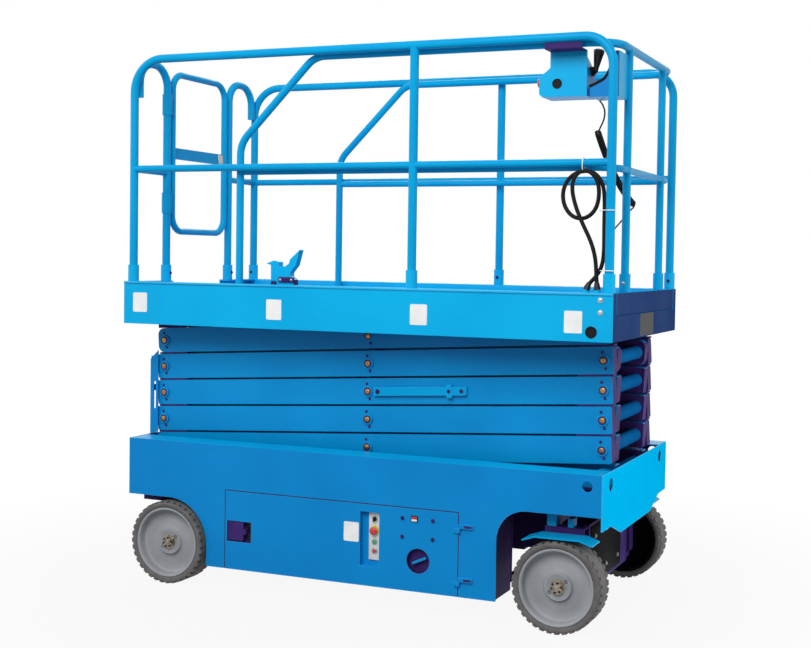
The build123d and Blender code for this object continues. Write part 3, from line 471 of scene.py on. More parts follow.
def makeCords():
    route = [mm(*p) for p in cableRoute["points"]]
    cable = routeCurve("powerCable", route, cableRoute["diameter"] / 2)
    cable.data.materials.append(finishes["cableRubber"])
    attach(cable, "platform")
    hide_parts("power_cable")
    length = lineLength(routeLine("cableGuide", route))
    curlLine = routeLine("curlGuide", [mm(*p) for p in curlyRoute["curl"]])
    leadIn, leadOut = ([mm(*p) for p in curlyRoute[key]] for key in ("leadIn", "leadOut"))
    helix = helixAbout(curlLine, curlyRoute, leadIn[-1], leadOut[0])
    first = easedLead("leadInGuide", helix, leadIn[::-1])
    last = easedLead("leadOutGuide", helix[::-1], leadOut)
    points = first[::-1] + helix + last
    cord = routeCurve("controlCord", points, curlyRoute["diameter"] / 2)
    cord.data.resolution_u = 2
    cord.data.bevel_resolution = 2
    cord.data.materials.append(finishes["cableRubber"])
    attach(cord, "platform")
    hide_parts("control_lead_in", "control_curl", "control_lead_out")
    length = lineLength(routeLine("cordGuide", points))
    print("cords laid:", round(length, 2), "m of curly cord")


makeCords()


# CAD nodes that keep their shape: a merged copy with rounded edges stands for each
softParts = {
    # finish: each node's rounded edge in mm
    "underPaintAndShade": {
        "chassis_frame": 2.0, "front_axle": 3.0, "rear_hubs": 2.0, "knuckle_r": 1.5, "knuckle_l": 1.5,
        "tie_rod": 1.0, "tray_r": 1.0, "tray_l": 1.0, "lift_barrel": 1.2,
    },
    "powderCoatChassis": {
        "side_skin_r": 3.8, "side_skin_l": 3.8, "ladder": 1.2, "door_r": 1.2, "door_l": 1.2,
    },
    # painted light: the front plate takes the lightest blue
    "powderCoatHighlight": {"front_plate": 2.0},
    "powderCoatRail": {
        # painted light: the safety prop takes the lighter rail blue instead of the arms' blue
        "safety_prop": 1.5, "side_rail_r": 0, "side_rail_l": 0, "rear_rails": 0, "gate": 0,
        "extension_rails": 0,
    },
    "powderCoatDeck": {
        "deck": 1.5, "extension_deck": 1.2, "control_box": 1.5, "document_box": 1.0, "pedal": 2.0,
    },
    "powderCoatArm": {},
    "batteryCase": {"battery_block": 8.0},
    "blackAbs": {"hydraulic_block": 8.0},
    "chromeRod": {"lift_rod": 1.0},
}
levels = range(1, 6)
for number in levels:
    arms = {f"outer_arms_{number}": 3.0, f"inner_frame_{number}": 3.0, f"pins_{number}": 1.2}
    softParts["powderCoatArm"].update(arms)


def inLatch(c, n):
    return -0.61 < c.x < -0.48 and 0.22 < c.z < 0.322 and abs(c.y) < 0.5565


def inKnob(c, n):
    u, v = c.x - 0.342, c.z - 0.230
    turn = math.radians(24)
    offBar = abs(v * math.cos(turn) - u * math.sin(turn))
    onBar = c.y < -0.530 and offBar < 0.007 and math.hypot(u, v) < 0.036
    return math.hypot(u, v) < 0.0575 and -0.5565 < c.y < 0 and not onBar


# faces of a copy that carry another finish
faceFinishes = {
    # painted shade on the deck's and the extension deck's front faces, painted light on the deck's inner walls
    # and the extension deck's top edge
    "deck": [("powderCoatFrontShade", lambda c, n: n.x > 0.6 and c.x > 1.165 and c.z < 1.397),
             ("powderCoatHighlight", lambda c, n: n.y * c.y < -0.3 and abs(c.y) > 0.5 and 1.31 < c.z < 1.397)],
    "extension_deck": [("powderCoatFrontShade", lambda c, n: n.x > 0.6 and c.x > 1.165),
                       ("powderCoatHighlight", lambda c, n: n.z > 0.9 and c.z > 1.39)],
    # painted shade: the control box's band under the rail
    "control_box": [("underPaintAndShade", lambda c, n: c.z > 2.3775)],
    "pedal": [("underPaintAndShade", lambda c, n: c.z < 1.420)],
    "door_r": [("underPaintAndShade", lambda c, n: inLatch(c, n) or inKnob(c, n))],
    "door_l": [("underPaintAndShade", inLatch)],
    # painted shade: the prop's underside
    "safety_prop": [("underPaintAndShade", lambda c, n: n.z < -0.5)],
    # painted shade: the document box's near face, in the darker chassis blue
    "document_box": [("powderCoatChassis", lambda c, n: n.y < -0.7)],
}


def onGuard(c, n):
    return c.z > 0.4205 or (abs(c.y) > 0.478 and c.z > 0.368)


# painted highlight: the chassis skins' upward flange faces take the lighter deck blue
def onFlange(c, n):
    return n.z > 0.9 and c.z > 0.655


def onTube(c, n):
    return abs(c.y) < 0.2


def inShade(c, n):
    # painted shade: the arms' front ends and the faces that look into the stack, in dark purple
    return abs(c.y) > 0.204 and ((abs(n.x) > 0.75 and c.x > 1.0) or n.y * c.y < -0.1)


for tag in sides:
    faceFinishes[f"knuckle_{tag}"] = [("powderCoatRail", onGuard)]
    faceFinishes[f"side_skin_{tag}"] = [("powderCoatDeck", onFlange)]
# painted shade: dark purple on the arms' ends and inward faces, darker blue on the cross tubes
for number in levels:
    faceFinishes[f"outer_arms_{number}"] = [("underPaintAndShade", inShade)]
    faceFinishes[f"inner_frame_{number}"] = [("underPaintAndShade", inShade), ("powderCoatTubeShade", onTube)]
creaseAngle = math.radians(38)
flatAngle = math.radians(0.6)


def softCopy(nodeName, finish, edgeMm):
    thing = bpy.data.objects.new(nodeName + "Skin", nodes[nodeName].data.copy())
    bpy.context.scene.collection.objects.link(thing)
    thing.data.materials.clear()
    inEdit(thing)
    bpy.ops.mesh.customdata_custom_splitnormals_clear()
    bpy.ops.mesh.remove_doubles(threshold=0.00001)
    bpy.ops.mesh.dissolve_limited(angle_limit=flatAngle)
    outEdit()
    thing.data.materials.append(finishes[finish])
    if edgeMm:
        # painted highlight: the bevel faces of blue copies take the lighter edge blue
        if finish.startswith("powderCoat"):
            thing.data.materials.append(finishes["powderCoatEdgeHighlight"])
        bevel = thing.modifiers.new("edges", "BEVEL")
        bevel.width = edgeMm / 1000
        bevel.segments = 2
        bevel.limit_method = "ANGLE"
        bevel.angle_limit = creaseAngle
        bevel.material = len(thing.data.materials) - 1
        only(thing)
        bpy.ops.object.modifier_apply(modifier="edges")
    for other, test in faceFinishes.get(nodeName, ()):
        thing.data.materials.append(finishes[other])
        for face in thing.data.polygons:
            if test(face.center, face.normal):
                face.material_index = len(thing.data.materials) - 1
    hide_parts(nodeName)
    dress(thing, bodyOf[nodeName], finish)
    # broad faces stay flat up to their rounded edges
    if edgeMm:
        flats = thing.modifiers.new("flats", "WEIGHTED_NORMAL")
        flats.keep_sharp = True
        bpy.ops.object.modifier_apply(modifier="flats")


for finish, members in softParts.items():
    for nodeName, edgeMm in members.items():
        softCopy(nodeName, finish, edgeMm)
    print("rounded copies:", finish, len(members))


# wheels
wheel = {
    "radius": 190.5, "width": 127.0, "middleY": 523.5, "rearX": -918.5, "frontX": 966.0,
    "lugs": 36, "stepsPerLug": 5, "lugSteps": 3, "lugAside": 37.2, "lugFromR": 182.5, "lugShort": 0.3,
    "shoulder": 184.0, "blackFrom": 60.2, "holeRing": 44.0, "holeIn": 27.5, "holeTurns": (35, 215),
    "nutIn": 26.0,
}
tyreRows = (
    (161, -57), (166, -61.5), (173, -63.5), (180, -63.5), (184, -61), (184.6, -37), (189.6, -34.5),
    (190.5, -31), (190.5, 0), (190.5, 31), (189.6, 34.5), (184.6, 37), (184, 61), (180, 63.5), (173, 63.5),
    (166, 61.5), (161, 57), (161, 0), (161, -57),
)
# distance in from the wheel's outer face, as a turner reads it
rimRows = (
    (30.06, 113), (58, 113), (58, 61), (140, 61), (146.7, 66), (146.7, 120), (160.7, 123), (160.7, 5),
    (158.5, 2.6), (154.5, 2.2), (151, 4), (148.4, 9), (147, 16), (146.4, 38), (144, 43.5), (139, 46.4),
    (132, 47), (104, 47), (100, 45.4), (96, 45), (70, 42), (63, 38.5), (60.5, 33), (59.5, 29), (57.5, 27),
    (45, 27), (43.5, 28.2), (30.06, 28.2),
)


def makeTyre(node, hub):
    k = wheel["stepsPerLug"] * wheel["lugs"]
    rows = [(r / 1000, y / 1000) for r, y in tyreRows]
    thing = turned(node + "Tread", rows, hub, (0, 1, 0), k)

    def onLug(centre, normal):
        out = centre - hub
        around = math.atan2(out.x, out.z) / math.tau * k
        reach = math.hypot(out.x, out.z)
        edge = abs(out.y) > wheel["lugAside"] / 1000 and reach > wheel["lugFromR"] / 1000
        shift = 0 if out.y > 0 else wheel["stepsPerLug"] / 2
        return edge and (around + shift) % wheel["stepsPerLug"] < wheel["lugSteps"]

    inEdit(thing)
    pickFaces(thing, onLug)
    bpy.ops.mesh.extrude_region_move(TRANSFORM_OT_translate={"value": (0, 0, 0)})
    grow = (wheel["radius"] - wheel["lugShort"]) / wheel["shoulder"]
    bpy.ops.transform.resize(value=(grow, 1, grow), center_override=hub)
    outEdit()
    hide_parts(node)
    dress(thing, bodyOf[node], "wheelRubber", 30)


def makeRim(node, hub, side):
    face = hub + Vector((0, side * wheel["width"] / 2000, 0))
    rows = [(r / 1000, -d / 1000) for r, d in rimRows]
    thing = turned(node + "Dish", rows + rows[:1], face, (0, side, 0), 72)
    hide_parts(node)
    dress(thing, bodyOf[node], "rimPaint", 40)
    # painted shade: the rim's inner part, from blackFrom in from its face, is black for the shade inside the
    # wheel
    thing.data.materials.append(finishes["blackPaintAndShade"])
    for part in thing.data.polygons:
        if (part.center - face).y * side < -wheel["blackFrom"] / 1000:
            part.material_index = 1
    # two tapped holes in the hub's face
    holes = []
    rows = [(0.0001, -0.004), (0.0045, -0.004), (0.0052, 0.0016), (0.0068, 0.0016), (0.0075, 0)]
    for turn in wheel["holeTurns"]:
        a, ring = math.radians(turn), wheel["holeRing"]
        at = face + mm(ring * math.cos(a), -side * wheel["holeIn"], ring * math.sin(a))
        holes.append(turned("hole", rows, at, (0, side, 0), 20))
    dress(joined(node + "Holes", holes), bodyOf[node], "blackAbs")


def makeNut(end, tag, hub, side):
    # castle nut on its washer, with a cotter through it
    face = hub + mm(0, side * (wheel["width"] / 2 - wheel["nutIn"]), 0)
    out = Vector((0, side, 0))
    turn = (math.pi / 2, 0, 0)
    hexPart = drum("hexPart", 6, 0.0286, 0.011, face + out * 0.0055, turn, 0.0015)
    crown = drum("crown", 24, 0.0245, 0.0085, face + out * 0.0148, turn)
    inEdit(crown)
    pickFaces(crown, lambda c, n: n.y * side > 0.9)
    bpy.ops.mesh.inset(thickness=0.008)
    bpy.ops.mesh.extrude_region_move(TRANSFORM_OT_translate={"value": out * -0.003})

    def inSlot(c, n):
        d = c - face
        step = round(math.atan2(d.x, d.z) / math.tau * 24 - 0.5)
        return abs(n.y) > 0.9 and d.length > 0.02 and step % 4 < 2

    pickFaces(crown, inSlot)
    bpy.ops.mesh.extrude_region_move(TRANSFORM_OT_translate={"value": out * -0.0078})
    outEdit()
    rows = [(0.0001, 0.0), (0.0105, 0.0), (0.0105, 0.0185), (0.009, 0.02), (0.0001, 0.0205)]
    stub = turned("stub", rows, face, (0, side, 0), 24)
    rows = [(0.0001, -0.024), (0.0022, -0.024), (0.0022, 0.024), (0.0001, 0.024)]
    cotter = turned("cotter", rows, face + out * 0.0165, (1, 0, 0.5), 10)
    rows = [(0.0001, -0.0008), (0.033, -0.0008), (0.0336, -0.0002), (0.033, 0.0006), (0.0001, 0.0006)]
    washer = turned("washer", rows, face, (0, side, 0), 36)
    node = "rear_hubs" if end == "rear" else f"knuckle_{tag}"
    nut = joined(f"spindleNut_{end}_{tag}", [hexPart, crown, stub, cotter, washer])
    dress(nut, bodyOf[node], "oiledSteel")


for end, x in (("rear", wheel["rearX"]), ("front", wheel["frontX"])):
    for tag, side in sides.items():
        hub = mm(x, side * wheel["middleY"], wheel["radius"])
        makeTyre(f"tyre_{end}_{tag}", hub)
        makeRim(f"rim_{end}_{tag}", hub, side)
        makeNut(end, tag, hub, side)
print("wheels made")


# cross plate under the tail
tail = slab("tailPlate", mm(-1139, -452, 352), mm(-1030, 452, 398), 0.003)
dress(tail, "chassis", "underPaintAndShade")

# black cover bolted to the axle's front
axleCover = {"low": (1026, -296, 140), "high": (1030, 190, 392), "boltYs": (-240, -60, 130),
             "boltZs": (190, 345)}
cover = slab("axleCover", mm(*axleCover["low"]), mm(*axleCover["high"]), 0.0015)
dress(cover, "chassis", "blackPaintAndShade")
coverBolts = [(mm(axleCover["high"][0], y, z), (1, 0, 0), 0.010)
              for y in axleCover["boltYs"] for z in axleCover["boltZs"]]
scatter("axleCoverBolts", coverBolts, "chassis", "zincPlate")


# deck: chequer plate floors, top bead, inner lip, blank plates, bolts
lug = {"long": 22.0, "wide": 7.0, "high": 1.6, "step": 42.0, "top": (0.55, 0.35, 1), "tips": (1, 0.3, 1)}
floors = {
    "rearFloor": {"body": "platform", "x": (-1160, -660), "y": (-545, 545), "z": 1302.0},
    "underFloor": {"body": "platform", "x": (-630, 250), "y": (-410, 410), "z": 1302.0},
    "extensionFloor": {"body": "extension", "x": (-625, 1125), "y": (-455, 455), "z": 1312.0},
}


def makeLug():
    only()
    bpy.ops.mesh.primitive_cube_add(size=1, location=mm(0, 0, lug["high"] / 2))
    bpy.context.active_object.scale = mm(lug["long"], lug["wide"], lug["high"])
    thing = settle("lug")
    inEdit(thing)
    pickFaces(thing, lambda c, n: n.z > 0.9)
    bpy.ops.transform.resize(value=lug["top"])
    pickFaces(thing, lambda c, n: abs(n.x) > 0.5)
    bpy.ops.transform.resize(value=lug["tips"])
    outEdit()
    return thing


def chequer(name, floor):
    x0, x1 = floor["x"]
    y0, y1 = floor["y"]
    step = lug["step"]
    pair = []
    for turn, shift in ((45, 0.0), (-45, 0.5)):
        corner = Matrix.Translation(mm(x0 + step * shift, y0 + step * shift, floor["z"]))
        pair.append(placed(makeLug(), corner @ Matrix.Rotation(math.radians(turn), 4, "Z")))
    thing = joined(name, pair)
    for key, span, way in (("alongX", x1 - x0, (1, 0, 0)), ("alongY", y1 - y0, (0, 1, 0))):
        rows = thing.modifiers.new(key, "ARRAY")
        rows.count = int(span / step)
        rows.use_relative_offset = False
        rows.use_constant_offset = True
        rows.constant_offset_displace = Vector(way) * step / 1000
        only(thing)
        bpy.ops.object.modifier_apply(modifier=key)
    dress(thing, floor["body"], "powderCoatDeck", 20)


for name, floor in floors.items():
    chequer(name, floor)

deckSide = {
    "y": 564.0, "endX": 1176.0, "beadZ": 1389.0, "lipX": 1140.0, "lipY": (512.2, 513.8), "lipZ": (1346, 1392),
    "boltX": 1124.5, "boltZs": (1366, 1316), "plugX": 1087.5, "plugZ": 1236.0,
}
blankPlates = (
    # x, z, wide, high
    (-1086.5, 1297.5, 77, 90), (-372.5, 1283.5, 77, 90), (330.5, 1283.5, 79, 88), (1012, 1275, 76, 90),
)
beadLong = 2 * deckSide["endX"] / 1000
beadRows = [(0.0001, 0), (0.004, 0), (0.006, 0.003), (0.006, beadLong - 0.003), (0.004, beadLong),
            (0.0001, beadLong)]
plugRows = [(0.0001, 0.0008), (0.017, 0.0008), (0.019, 0.0035), (0.022, 0.004), (0.024, 0.002), (0.0245, 0)]
for tag, side in sides.items():
    out = (0, side, 0)
    sideY = side * deckSide["y"]
    bead = turned(f"deckBead_{tag}", beadRows, mm(-deckSide["endX"], sideY, deckSide["beadZ"]), (1, 0, 0), 16)
    # painted highlight: the bead takes the lighter edge blue
    dress(bead, "platform", "powderCoatEdgeHighlight")
    # folded lip along the inside of the wall
    y0, y1 = sorted(side * y for y in deckSide["lipY"])
    z0, z1 = deckSide["lipZ"]
    lip = slab(f"deckLip_{tag}", mm(-deckSide["lipX"], y0, z0), mm(deckSide["lipX"], y1, z1), 0.0006)
    dress(lip, "platform", "powderCoatDeck")
    labels = [plate("label", mm(x, sideY, z), out, w / 1000, h / 1000) for x, z, w, h in blankPlates]
    dress(joined(f"deckPlates_{tag}", labels), "platform", "whiteVinyl")
    deckBolts = [(mm(deckSide["boltX"], sideY, z), out, 0.011) for z in deckSide["boltZs"]]
    scatter(f"deckBolts_{tag}", deckBolts, "platform", "zincPlate")
    plug = turned(f"deckPlug_{tag}", plugRows, mm(deckSide["plugX"], sideY, deckSide["plugZ"]), out, 36)
    dress(plug, "platform", "cableRubber")
front = plate("frontPlate", mm(1177.2, 0, 1250), (1, 0, 0), 0.24, 0.097, 0.0005, 0.008)
dress(front, "platform", "batteryCase")
posts = {"socketR": 25.0, "boltZ": 1432.0, "sideY": 538.0, "sideXs": (-1143.5, 284.0, 1151.5), "gateY": 277.0}
sockets = [(mm(x, side * (posts["sideY"] - posts["socketR"]), posts["boltZ"]), (0, -side, 0), 0.008)
           for x in posts["sideXs"] for side in sides.values()]
gateX = posts["sideXs"][0] + posts["socketR"]
sockets += [(mm(gateX, side * posts["gateY"], posts["boltZ"]), (1, 0, 0), 0.008) for side in sides.values()]
scatter("socketBolts", sockets, "platform", "underPaintAndShade")
# sleeves round the feet of the extension's front posts
sleeve = {"x": 1153.0, "y": 300.0, "z": 1388.0, "r": 23.5,
          "rows": ((17.4, 0), (23.5, 0), (23.5, 81.5), (22, 83), (17.4, 83), (17.4, 0))}
sleeveRows = [(r / 1000, z / 1000) for r, z in sleeve["rows"]]
feet = [turned("sleeve", sleeveRows, mm(sleeve["x"], side * sleeve["y"], sleeve["z"]), (0, 0, 1), 40)
        for side in sides.values()]
dress(joined("postSleeves", feet), "extension", "powderCoatRail")
feetBolts = [(mm(sleeve["x"], side * (sleeve["y"] + sleeve["r"]), posts["boltZ"]), (0, side, 0), 0.008)
             for side in sides.values()]
scatter("sleeveBolts", feetBolts, "extension", "zincPlate")
latchParts = [slab("gateLatch", mm(-1151, 236, 2003), mm(-1136, 256, 2033), 0.002),
              slab("latchPlate", mm(-1139.5, 167, 1993), mm(-1134, 215, 2040), 0.002)]
dress(joined("gateLatch", latchParts), "gate", "zincPlate")
# foot pedal: a dark treadle plate and its spring box on the near side
treadle = [slab("treadle", mm(-402, -478, 1404), mm(-322, -470.2, 1428), 0.003),
           slab("springBox", mm(-440, -480, 1384), mm(-414, -470.2, 1410), 0.004)]
dress(joined("pedalTreadle", treadle), "extension", "underPaintAndShade")
pedalBolts = [(mm(x, -478, 1416), (0, -1, 0), 0.006) for x in (-390, -334)]
scatter("pedalBolts", pedalBolts, "extension", "zincPlate")
print("deck dressed")


# scissor pins: a collar and two keeper bolts at each head, a bronze button in its middle; the collar's dark
# purple is painted shade round the head
stack = {"rearX": -1104.0, "length": 2188.0, "pitch": 125.9, "baseZ": 603.9, "faceY": 335.0, "headY": 345.0}
restAngle = math.asin(stack["pitch"] / stack["length"])
frontPinX = stack["rearX"] + stack["length"] * math.cos(restAngle)
pinXs = (stack["rearX"], (stack["rearX"] + frontPinX) / 2, frontPinX)
ringRows = [(0.0132, 0), (0.0178, 0), (0.0178, 0.002), (0.017, 0.003), (0.014, 0.003), (0.0132, 0.002),
            (0.0132, 0)]
headRows = [(0.0001, 0.0052), (0.0022, 0.0052), (0.0026, 0.0038), (0.009, 0.0034), (0.0118, 0.0022),
            (0.0128, 0)]
keeper = {"aside": 8, "below": 34, "size": 0.0065}
for number in levels:
    rings, keepers, buttons = [], [], []
    for side in sides.values():
        out = Vector((0, side, 0))
        for x, share in zip(pinXs, (number - 1, number - 0.5, number)):
            z = stack["baseZ"] + share * stack["pitch"]
            head = mm(x, side * stack["headY"], z)
            rings.append(turned("ring", ringRows, head, out, 36))
            buttons.append(turned("button", headRows, head, out, 28))
            for way in (-1, 1):
                at = mm(x + keeper["aside"] * way, side * stack["faceY"], z - keeper["below"] * way)
                keepers.append((at, out, keeper["size"]))
    dress(joined(f"pinRings_{number}", rings), f"outer_{number}", "underPaintAndShade")
    dress(joined(f"pinButtons_{number}", buttons), f"outer_{number}", "bronzePin")
    scatter(f"keeperBolts_{number}", keepers, f"outer_{number}", "underPaintAndShade")
# rest pads: the folded arms lie on them near their ends, and the deck's own pads lie on the top arms
pad = {"lane": (277.0, 333.0), "alongs": (-36.0, 120.0), "under": (-66.6, -58.0), "edge": 0.0015}
deckPad = {"alongs": (-38.0, 104.0), "over": (58.9, 86.0), "edge": 0.002}


def padBlock(side, x, share, alongs, heights, edge):
    # a block in the arms' lane, tilted with them about the pin at x
    y0, y1 = sorted(side * y for y in pad["lane"])
    block = slab("pad", mm(alongs[0], y0, heights[0]), mm(alongs[1], y1, heights[1]), edge)
    pin = Matrix.Translation(mm(x, 0, stack["baseZ"] + share * stack["pitch"]))
    return placed(block, pin @ Matrix.Rotation(-restAngle, 4, "Y"))


for number in levels[1:]:
    pads = []
    for side in sides.values():
        for x, share, way in ((pinXs[0], number - 1, 1), (pinXs[2], number, -1)):
            alongs = sorted(way * u for u in pad["alongs"])
            pads.append(padBlock(side, x, share, alongs, pad["under"], pad["edge"]))
    dress(joined(f"restPads_{number}", pads), f"outer_{number}", "underPaintAndShade")
pads = [padBlock(side, pinXs[0], levels[-1] - 1, deckPad["alongs"], deckPad["over"], deckPad["edge"])
        for side in sides.values()]
dress(joined("deckPads", pads), "platform", "underPaintAndShade")

prop = {
    "startX": 32.0, "height": 918.65,
    # along the bar, face, size
    "bolts": ((0.022, -353.0, 0.011), (0.37, -359.0, 0.008), (0.428, -353.0, 0.009)),
}
along = Vector((math.cos(restAngle), 0, math.sin(restAngle)))
propStart = mm(pinXs[1] + prop["startX"], 0, prop["height"] + prop["startX"] * math.tan(restAngle))
propBolts = [(propStart + along * u + mm(0, y, 0), (0, -1, 0), size) for u, y, size in prop["bolts"]]
scatter("propBolts", propBolts, "outer_3", "underPaintAndShade")
print("pins dressed")


# side doors: hinge slots, seals, latch flap, blank sign, bolts, rocker
door = {
    "y": 558.0, "slotX": 572.0, "slotY": 569.0, "slotZs": (173, 399), "flapY": (541.0, 556.0),
    "sealY": (551.0, 556.0),
    # x from, x to, z from, z to
    "seals": ((524.1, 528.4, 98, 453), (-621.4, -617.1, 98, 453), (-621.4, 528.4, 453.6, 457.9)),
}
for tag, side in sides.items():
    out = (0, side, 0)
    body = f"module_{tag}"
    # painted shade: dark plates where the hinge slots stand in shade
    slots = [plate("hingeSlot", mm(door["slotX"], side * door["slotY"], z), out, 0.036, 0.010, 0.0006, 0.004)
             for z in door["slotZs"]]
    dress(joined(f"hingeSlots_{tag}", slots), "chassis", "underPaintAndShade")
    # rubber seal in the gap round the door
    y0, y1 = sorted(side * y for y in door["sealY"])
    seals = [slab("seal", mm(x0, y0, z0), mm(x1, y1, z1), 0.0003) for x0, x1, z0, z1 in door["seals"]]
    dress(joined(f"doorSeals_{tag}", seals), "chassis", "underPaintAndShade")
    y0, y1 = sorted(side * y for y in door["flapY"])
    flap = slab(f"latchFlap_{tag}", mm(-605, y0, 228), mm(-524, y1, 314), 0.003, 3)
    dress(flap, body, "underPaintAndShade")
    slot = plate(f"latchSlot_{tag}", mm(-503, side * 528.2, 271), out, 0.034, 0.082, corner=0.003)
    dress(slot, body, "blackAbs")
out = (0, -1, 0)
sign = plate("doorSign", mm(23.5, -door["y"], 327.5), out, 0.073, 0.085)
dress(sign, "module_r", "whiteVinyl")
doorBolts = [(mm(x, -door["y"], z), out, 0.009) for x in (267, 409) for z in (329, 409)]
scatter("doorBolts", doorBolts, "module_r", "underPaintAndShade")
rocker = (
    # name, low, high, edge, finish, slot
    ("rockerBase", (307, -561, 396), (341, -557.5, 424), 0.002, "blackAbs", "black_plastic"),
    ("rockerRed", (311, -565, 411), (337, -560, 420), 0.0018, "redAbs", "black_plastic"),
    ("rockerWhite", (311, -564, 400), (337, -560, 409), 0.0018, "whiteVinyl", "grey_panel"),
)
for name, low, high, edge, finish, slotName in rocker:
    dress(slab(name, mm(*low), mm(*high), edge), "module_r", finish)

# ground controls: grey strip with key switch, stop button and two push buttons
panel = {"x": 126.0, "y": -535.0, "stopY": -534.0, "ringY": -535.2, "greenZ": 288, "redZ": 248, "keyZ": 388,
         "stopZ": 338}
green, red, key = (mm(panel["x"], panel["y"], panel[name]) for name in ("greenZ", "redZ", "keyZ"))
strip = slab("controlStrip", mm(97, -535.5, 208), mm(155, -528, 418), 0.0025)
dress(strip, "module_r", "greyPanel")
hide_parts("ground_control")
rows = [(0.0135, 0), (0.0135, 0.003), (0.012, 0.0045), (0.0095, 0.0045), (0.0095, 0), (0.0135, 0)]
bezels = [turned("bezel", rows, at, out, 32) for at in (green, red, key)]
dress(joined("controlBezels", bezels), "module_r", "zincPlate")
rows = [(0.0001, 0.008), (0.006, 0.0078), (0.0088, 0.0062), (0.0092, 0.003), (0.0092, 0)]
dress(turned("greenButton", rows, green, out, 32), "module_r", "greenAbs")
dress(turned("redButton", rows, red, out, 32), "module_r", "redAbs")
rows = [(0.0001, 0.006), (0.008, 0.006), (0.009, 0.005), (0.0094, 0)]
keyBase = turned("keyBase", rows, key, out, 32)
keyBlade = slab("keyBlade", mm(123, -553, 378), mm(129, -540, 398), 0.0015)
dress(joined("keySwitch", [keyBase, keyBlade]), "module_r", "blackAbs")
stopRows = [(0.0001, 0.0262), (0.008, 0.0258), (0.0145, 0.0238), (0.0172, 0.0205), (0.0168, 0.0175),
            (0.0125, 0.0155), (0.0095, 0.0145), (0.0088, 0.0)]
stop = turned("groundStop", stopRows, mm(panel["x"], panel["stopY"], panel["stopZ"]), out, 40)
dress(stop, "module_r", "redAbs")
rows = [(0.0105, 0), (0.0205, 0), (0.0205, 0.0015), (0.0195, 0.0024), (0.0105, 0.0024), (0.0105, 0)]
ring = turned("groundStopRing", rows, mm(panel["x"], panel["ringY"], panel["stopZ"]), out, 40)
dress(ring, "module_r", "yellowAbs")
print("doors and ground controls dressed")


# platform control box: stop button, joystick with bellows, side hole
box = {
    "stop": (815, -396, 2262), "stopGrow": 1.12, "boot": (1020, -396, 2302), "bootLean": (1, 0, 0.3),
    "grip": (1037, -396, 2300), "gripLean": (0.16, 0, 1), "hole": (893, -462, 2249),
    "label": (940, -330, 2300),
}
rows = [(r * box["stopGrow"], along) for r, along in stopRows]
stop = turned("platformStop", rows, mm(*box["stop"]), (-1, 0, 0), 40)
dress(stop, "platform", "redAbs")
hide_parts("control_levers")
rows = [(0.012, 0), (0.026, 0), (0.026, 0.002), (0.0245, 0.0032), (0.012, 0.0032), (0.012, 0)]
ring = turned("platformStopRing", rows, mm(*box["stop"]), (-1, 0, 0), 40)
dress(ring, "platform", "yellowAbs")
bellows = [(0.023, 0.0), (0.023, 0.003), (0.021, 0.0045), (0.019, 0.006), (0.0205, 0.008), (0.017, 0.010),
           (0.0185, 0.0125), (0.0145, 0.015), (0.0155, 0.0175), (0.011, 0.020), (0.011, 0.024),
           (0.0001, 0.024)]
boot = turned("stickBoot", bellows, mm(*box["boot"]), box["bootLean"], 40)
grip = [(0.0001, 0.0), (0.0095, 0.0), (0.0105, 0.018), (0.0135, 0.034), (0.0165, 0.05), (0.0195, 0.066),
        (0.0225, 0.082), (0.0215, 0.090), (0.014, 0.0945), (0.0001, 0.0955)]
stick = turned("stickGrip", grip, mm(*box["grip"]), box["gripLean"], 28)
dress(joined("joystick", [boot, stick]), "platform", "blackAbs")
rows = [(0.0001, 0.0008), (0.0155, 0.0008), (0.0165, 0.003), (0.019, 0.0034), (0.0205, 0.0018), (0.0208, 0)]
dress(turned("boxHole", rows, mm(*box["hole"]), (0, -1, 0), 36), "platform", "cableRubber")
label = plate("boxFace", mm(*box["label"]), (0, 1, 0), 0.10, 0.08)
dress(label, "platform", "whiteVinyl")
rows = [(0.0048, 0.0), (0.009, 0.0), (0.009, 0.006), (0.0075, 0.012), (0.0055, 0.026), (0.0048, 0.027),
        (0.0048, 0.0)]
relief = turned("cordRelief", rows, mm(*curlyRoute["leadIn"][0]), (0, 1, 0), 24)
dress(relief, "platform", "cableRubber")


def tubeMesh(name, points, radius):
    thing = routeCurve(name, points, radius)
    only(thing)
    bpy.ops.object.convert(target="MESH")
    return bpy.context.active_object


def tie(name, middle, across, along, wide, high):
    # a nylon tie pulled round two tubes
    across, along = Vector(across), Vector(along)
    loop = [Vector(middle) + across * wide * math.cos(a) + along * high * math.sin(a)
            for a in (math.tau * i / 20 for i in range(21))]
    return tubeMesh(name, loop, 0.0022)


# rubber trim on the document box's sloped edge, white ties on the power cable
trimEdge = [mm(x, -455, z) for x, z in ((1029, 2234), (1070, 2252), (1098, 2268), (1122, 2322), (1145, 2374))]
dress(tubeMesh("trayTrim", trimEdge, 0.006), "extension", "cableRubber")
ties = [
    tie("tieRail", mm(1036, -537, 1906), (0, 1, 0), (0, 0, 1), 0.021, 0.031),
    tie("tiePost", mm(1138, -530, 1726), (0.85, -0.53, 0), (0.53, 0.85, 0), 0.041, 0.024),
    tie("tieFoot", mm(1142, -534, 1484), (0.85, -0.53, 0), (0.53, 0.85, 0), 0.036, 0.024),
]
dress(joined("cableTies", ties), "platform", "whiteVinyl")
rows = [(0.0088, 0.0), (0.014, 0.0), (0.014, 0.006), (0.0132, 0.008), (0.0132, 0.013), (0.0118, 0.018),
        (0.0098, 0.03), (0.0088, 0.031), (0.0088, 0.0)]
ends = ((cableRoute["points"][0], (-5, -1, 54)), (cableRoute["points"][-1], (11, 2, 26)))
glands = [turned("gland", rows, mm(*at), lean, 24) for at, lean in ends]
dress(joined("cableGlands", glands), "platform", "blackAbs")
print("control box dressed")


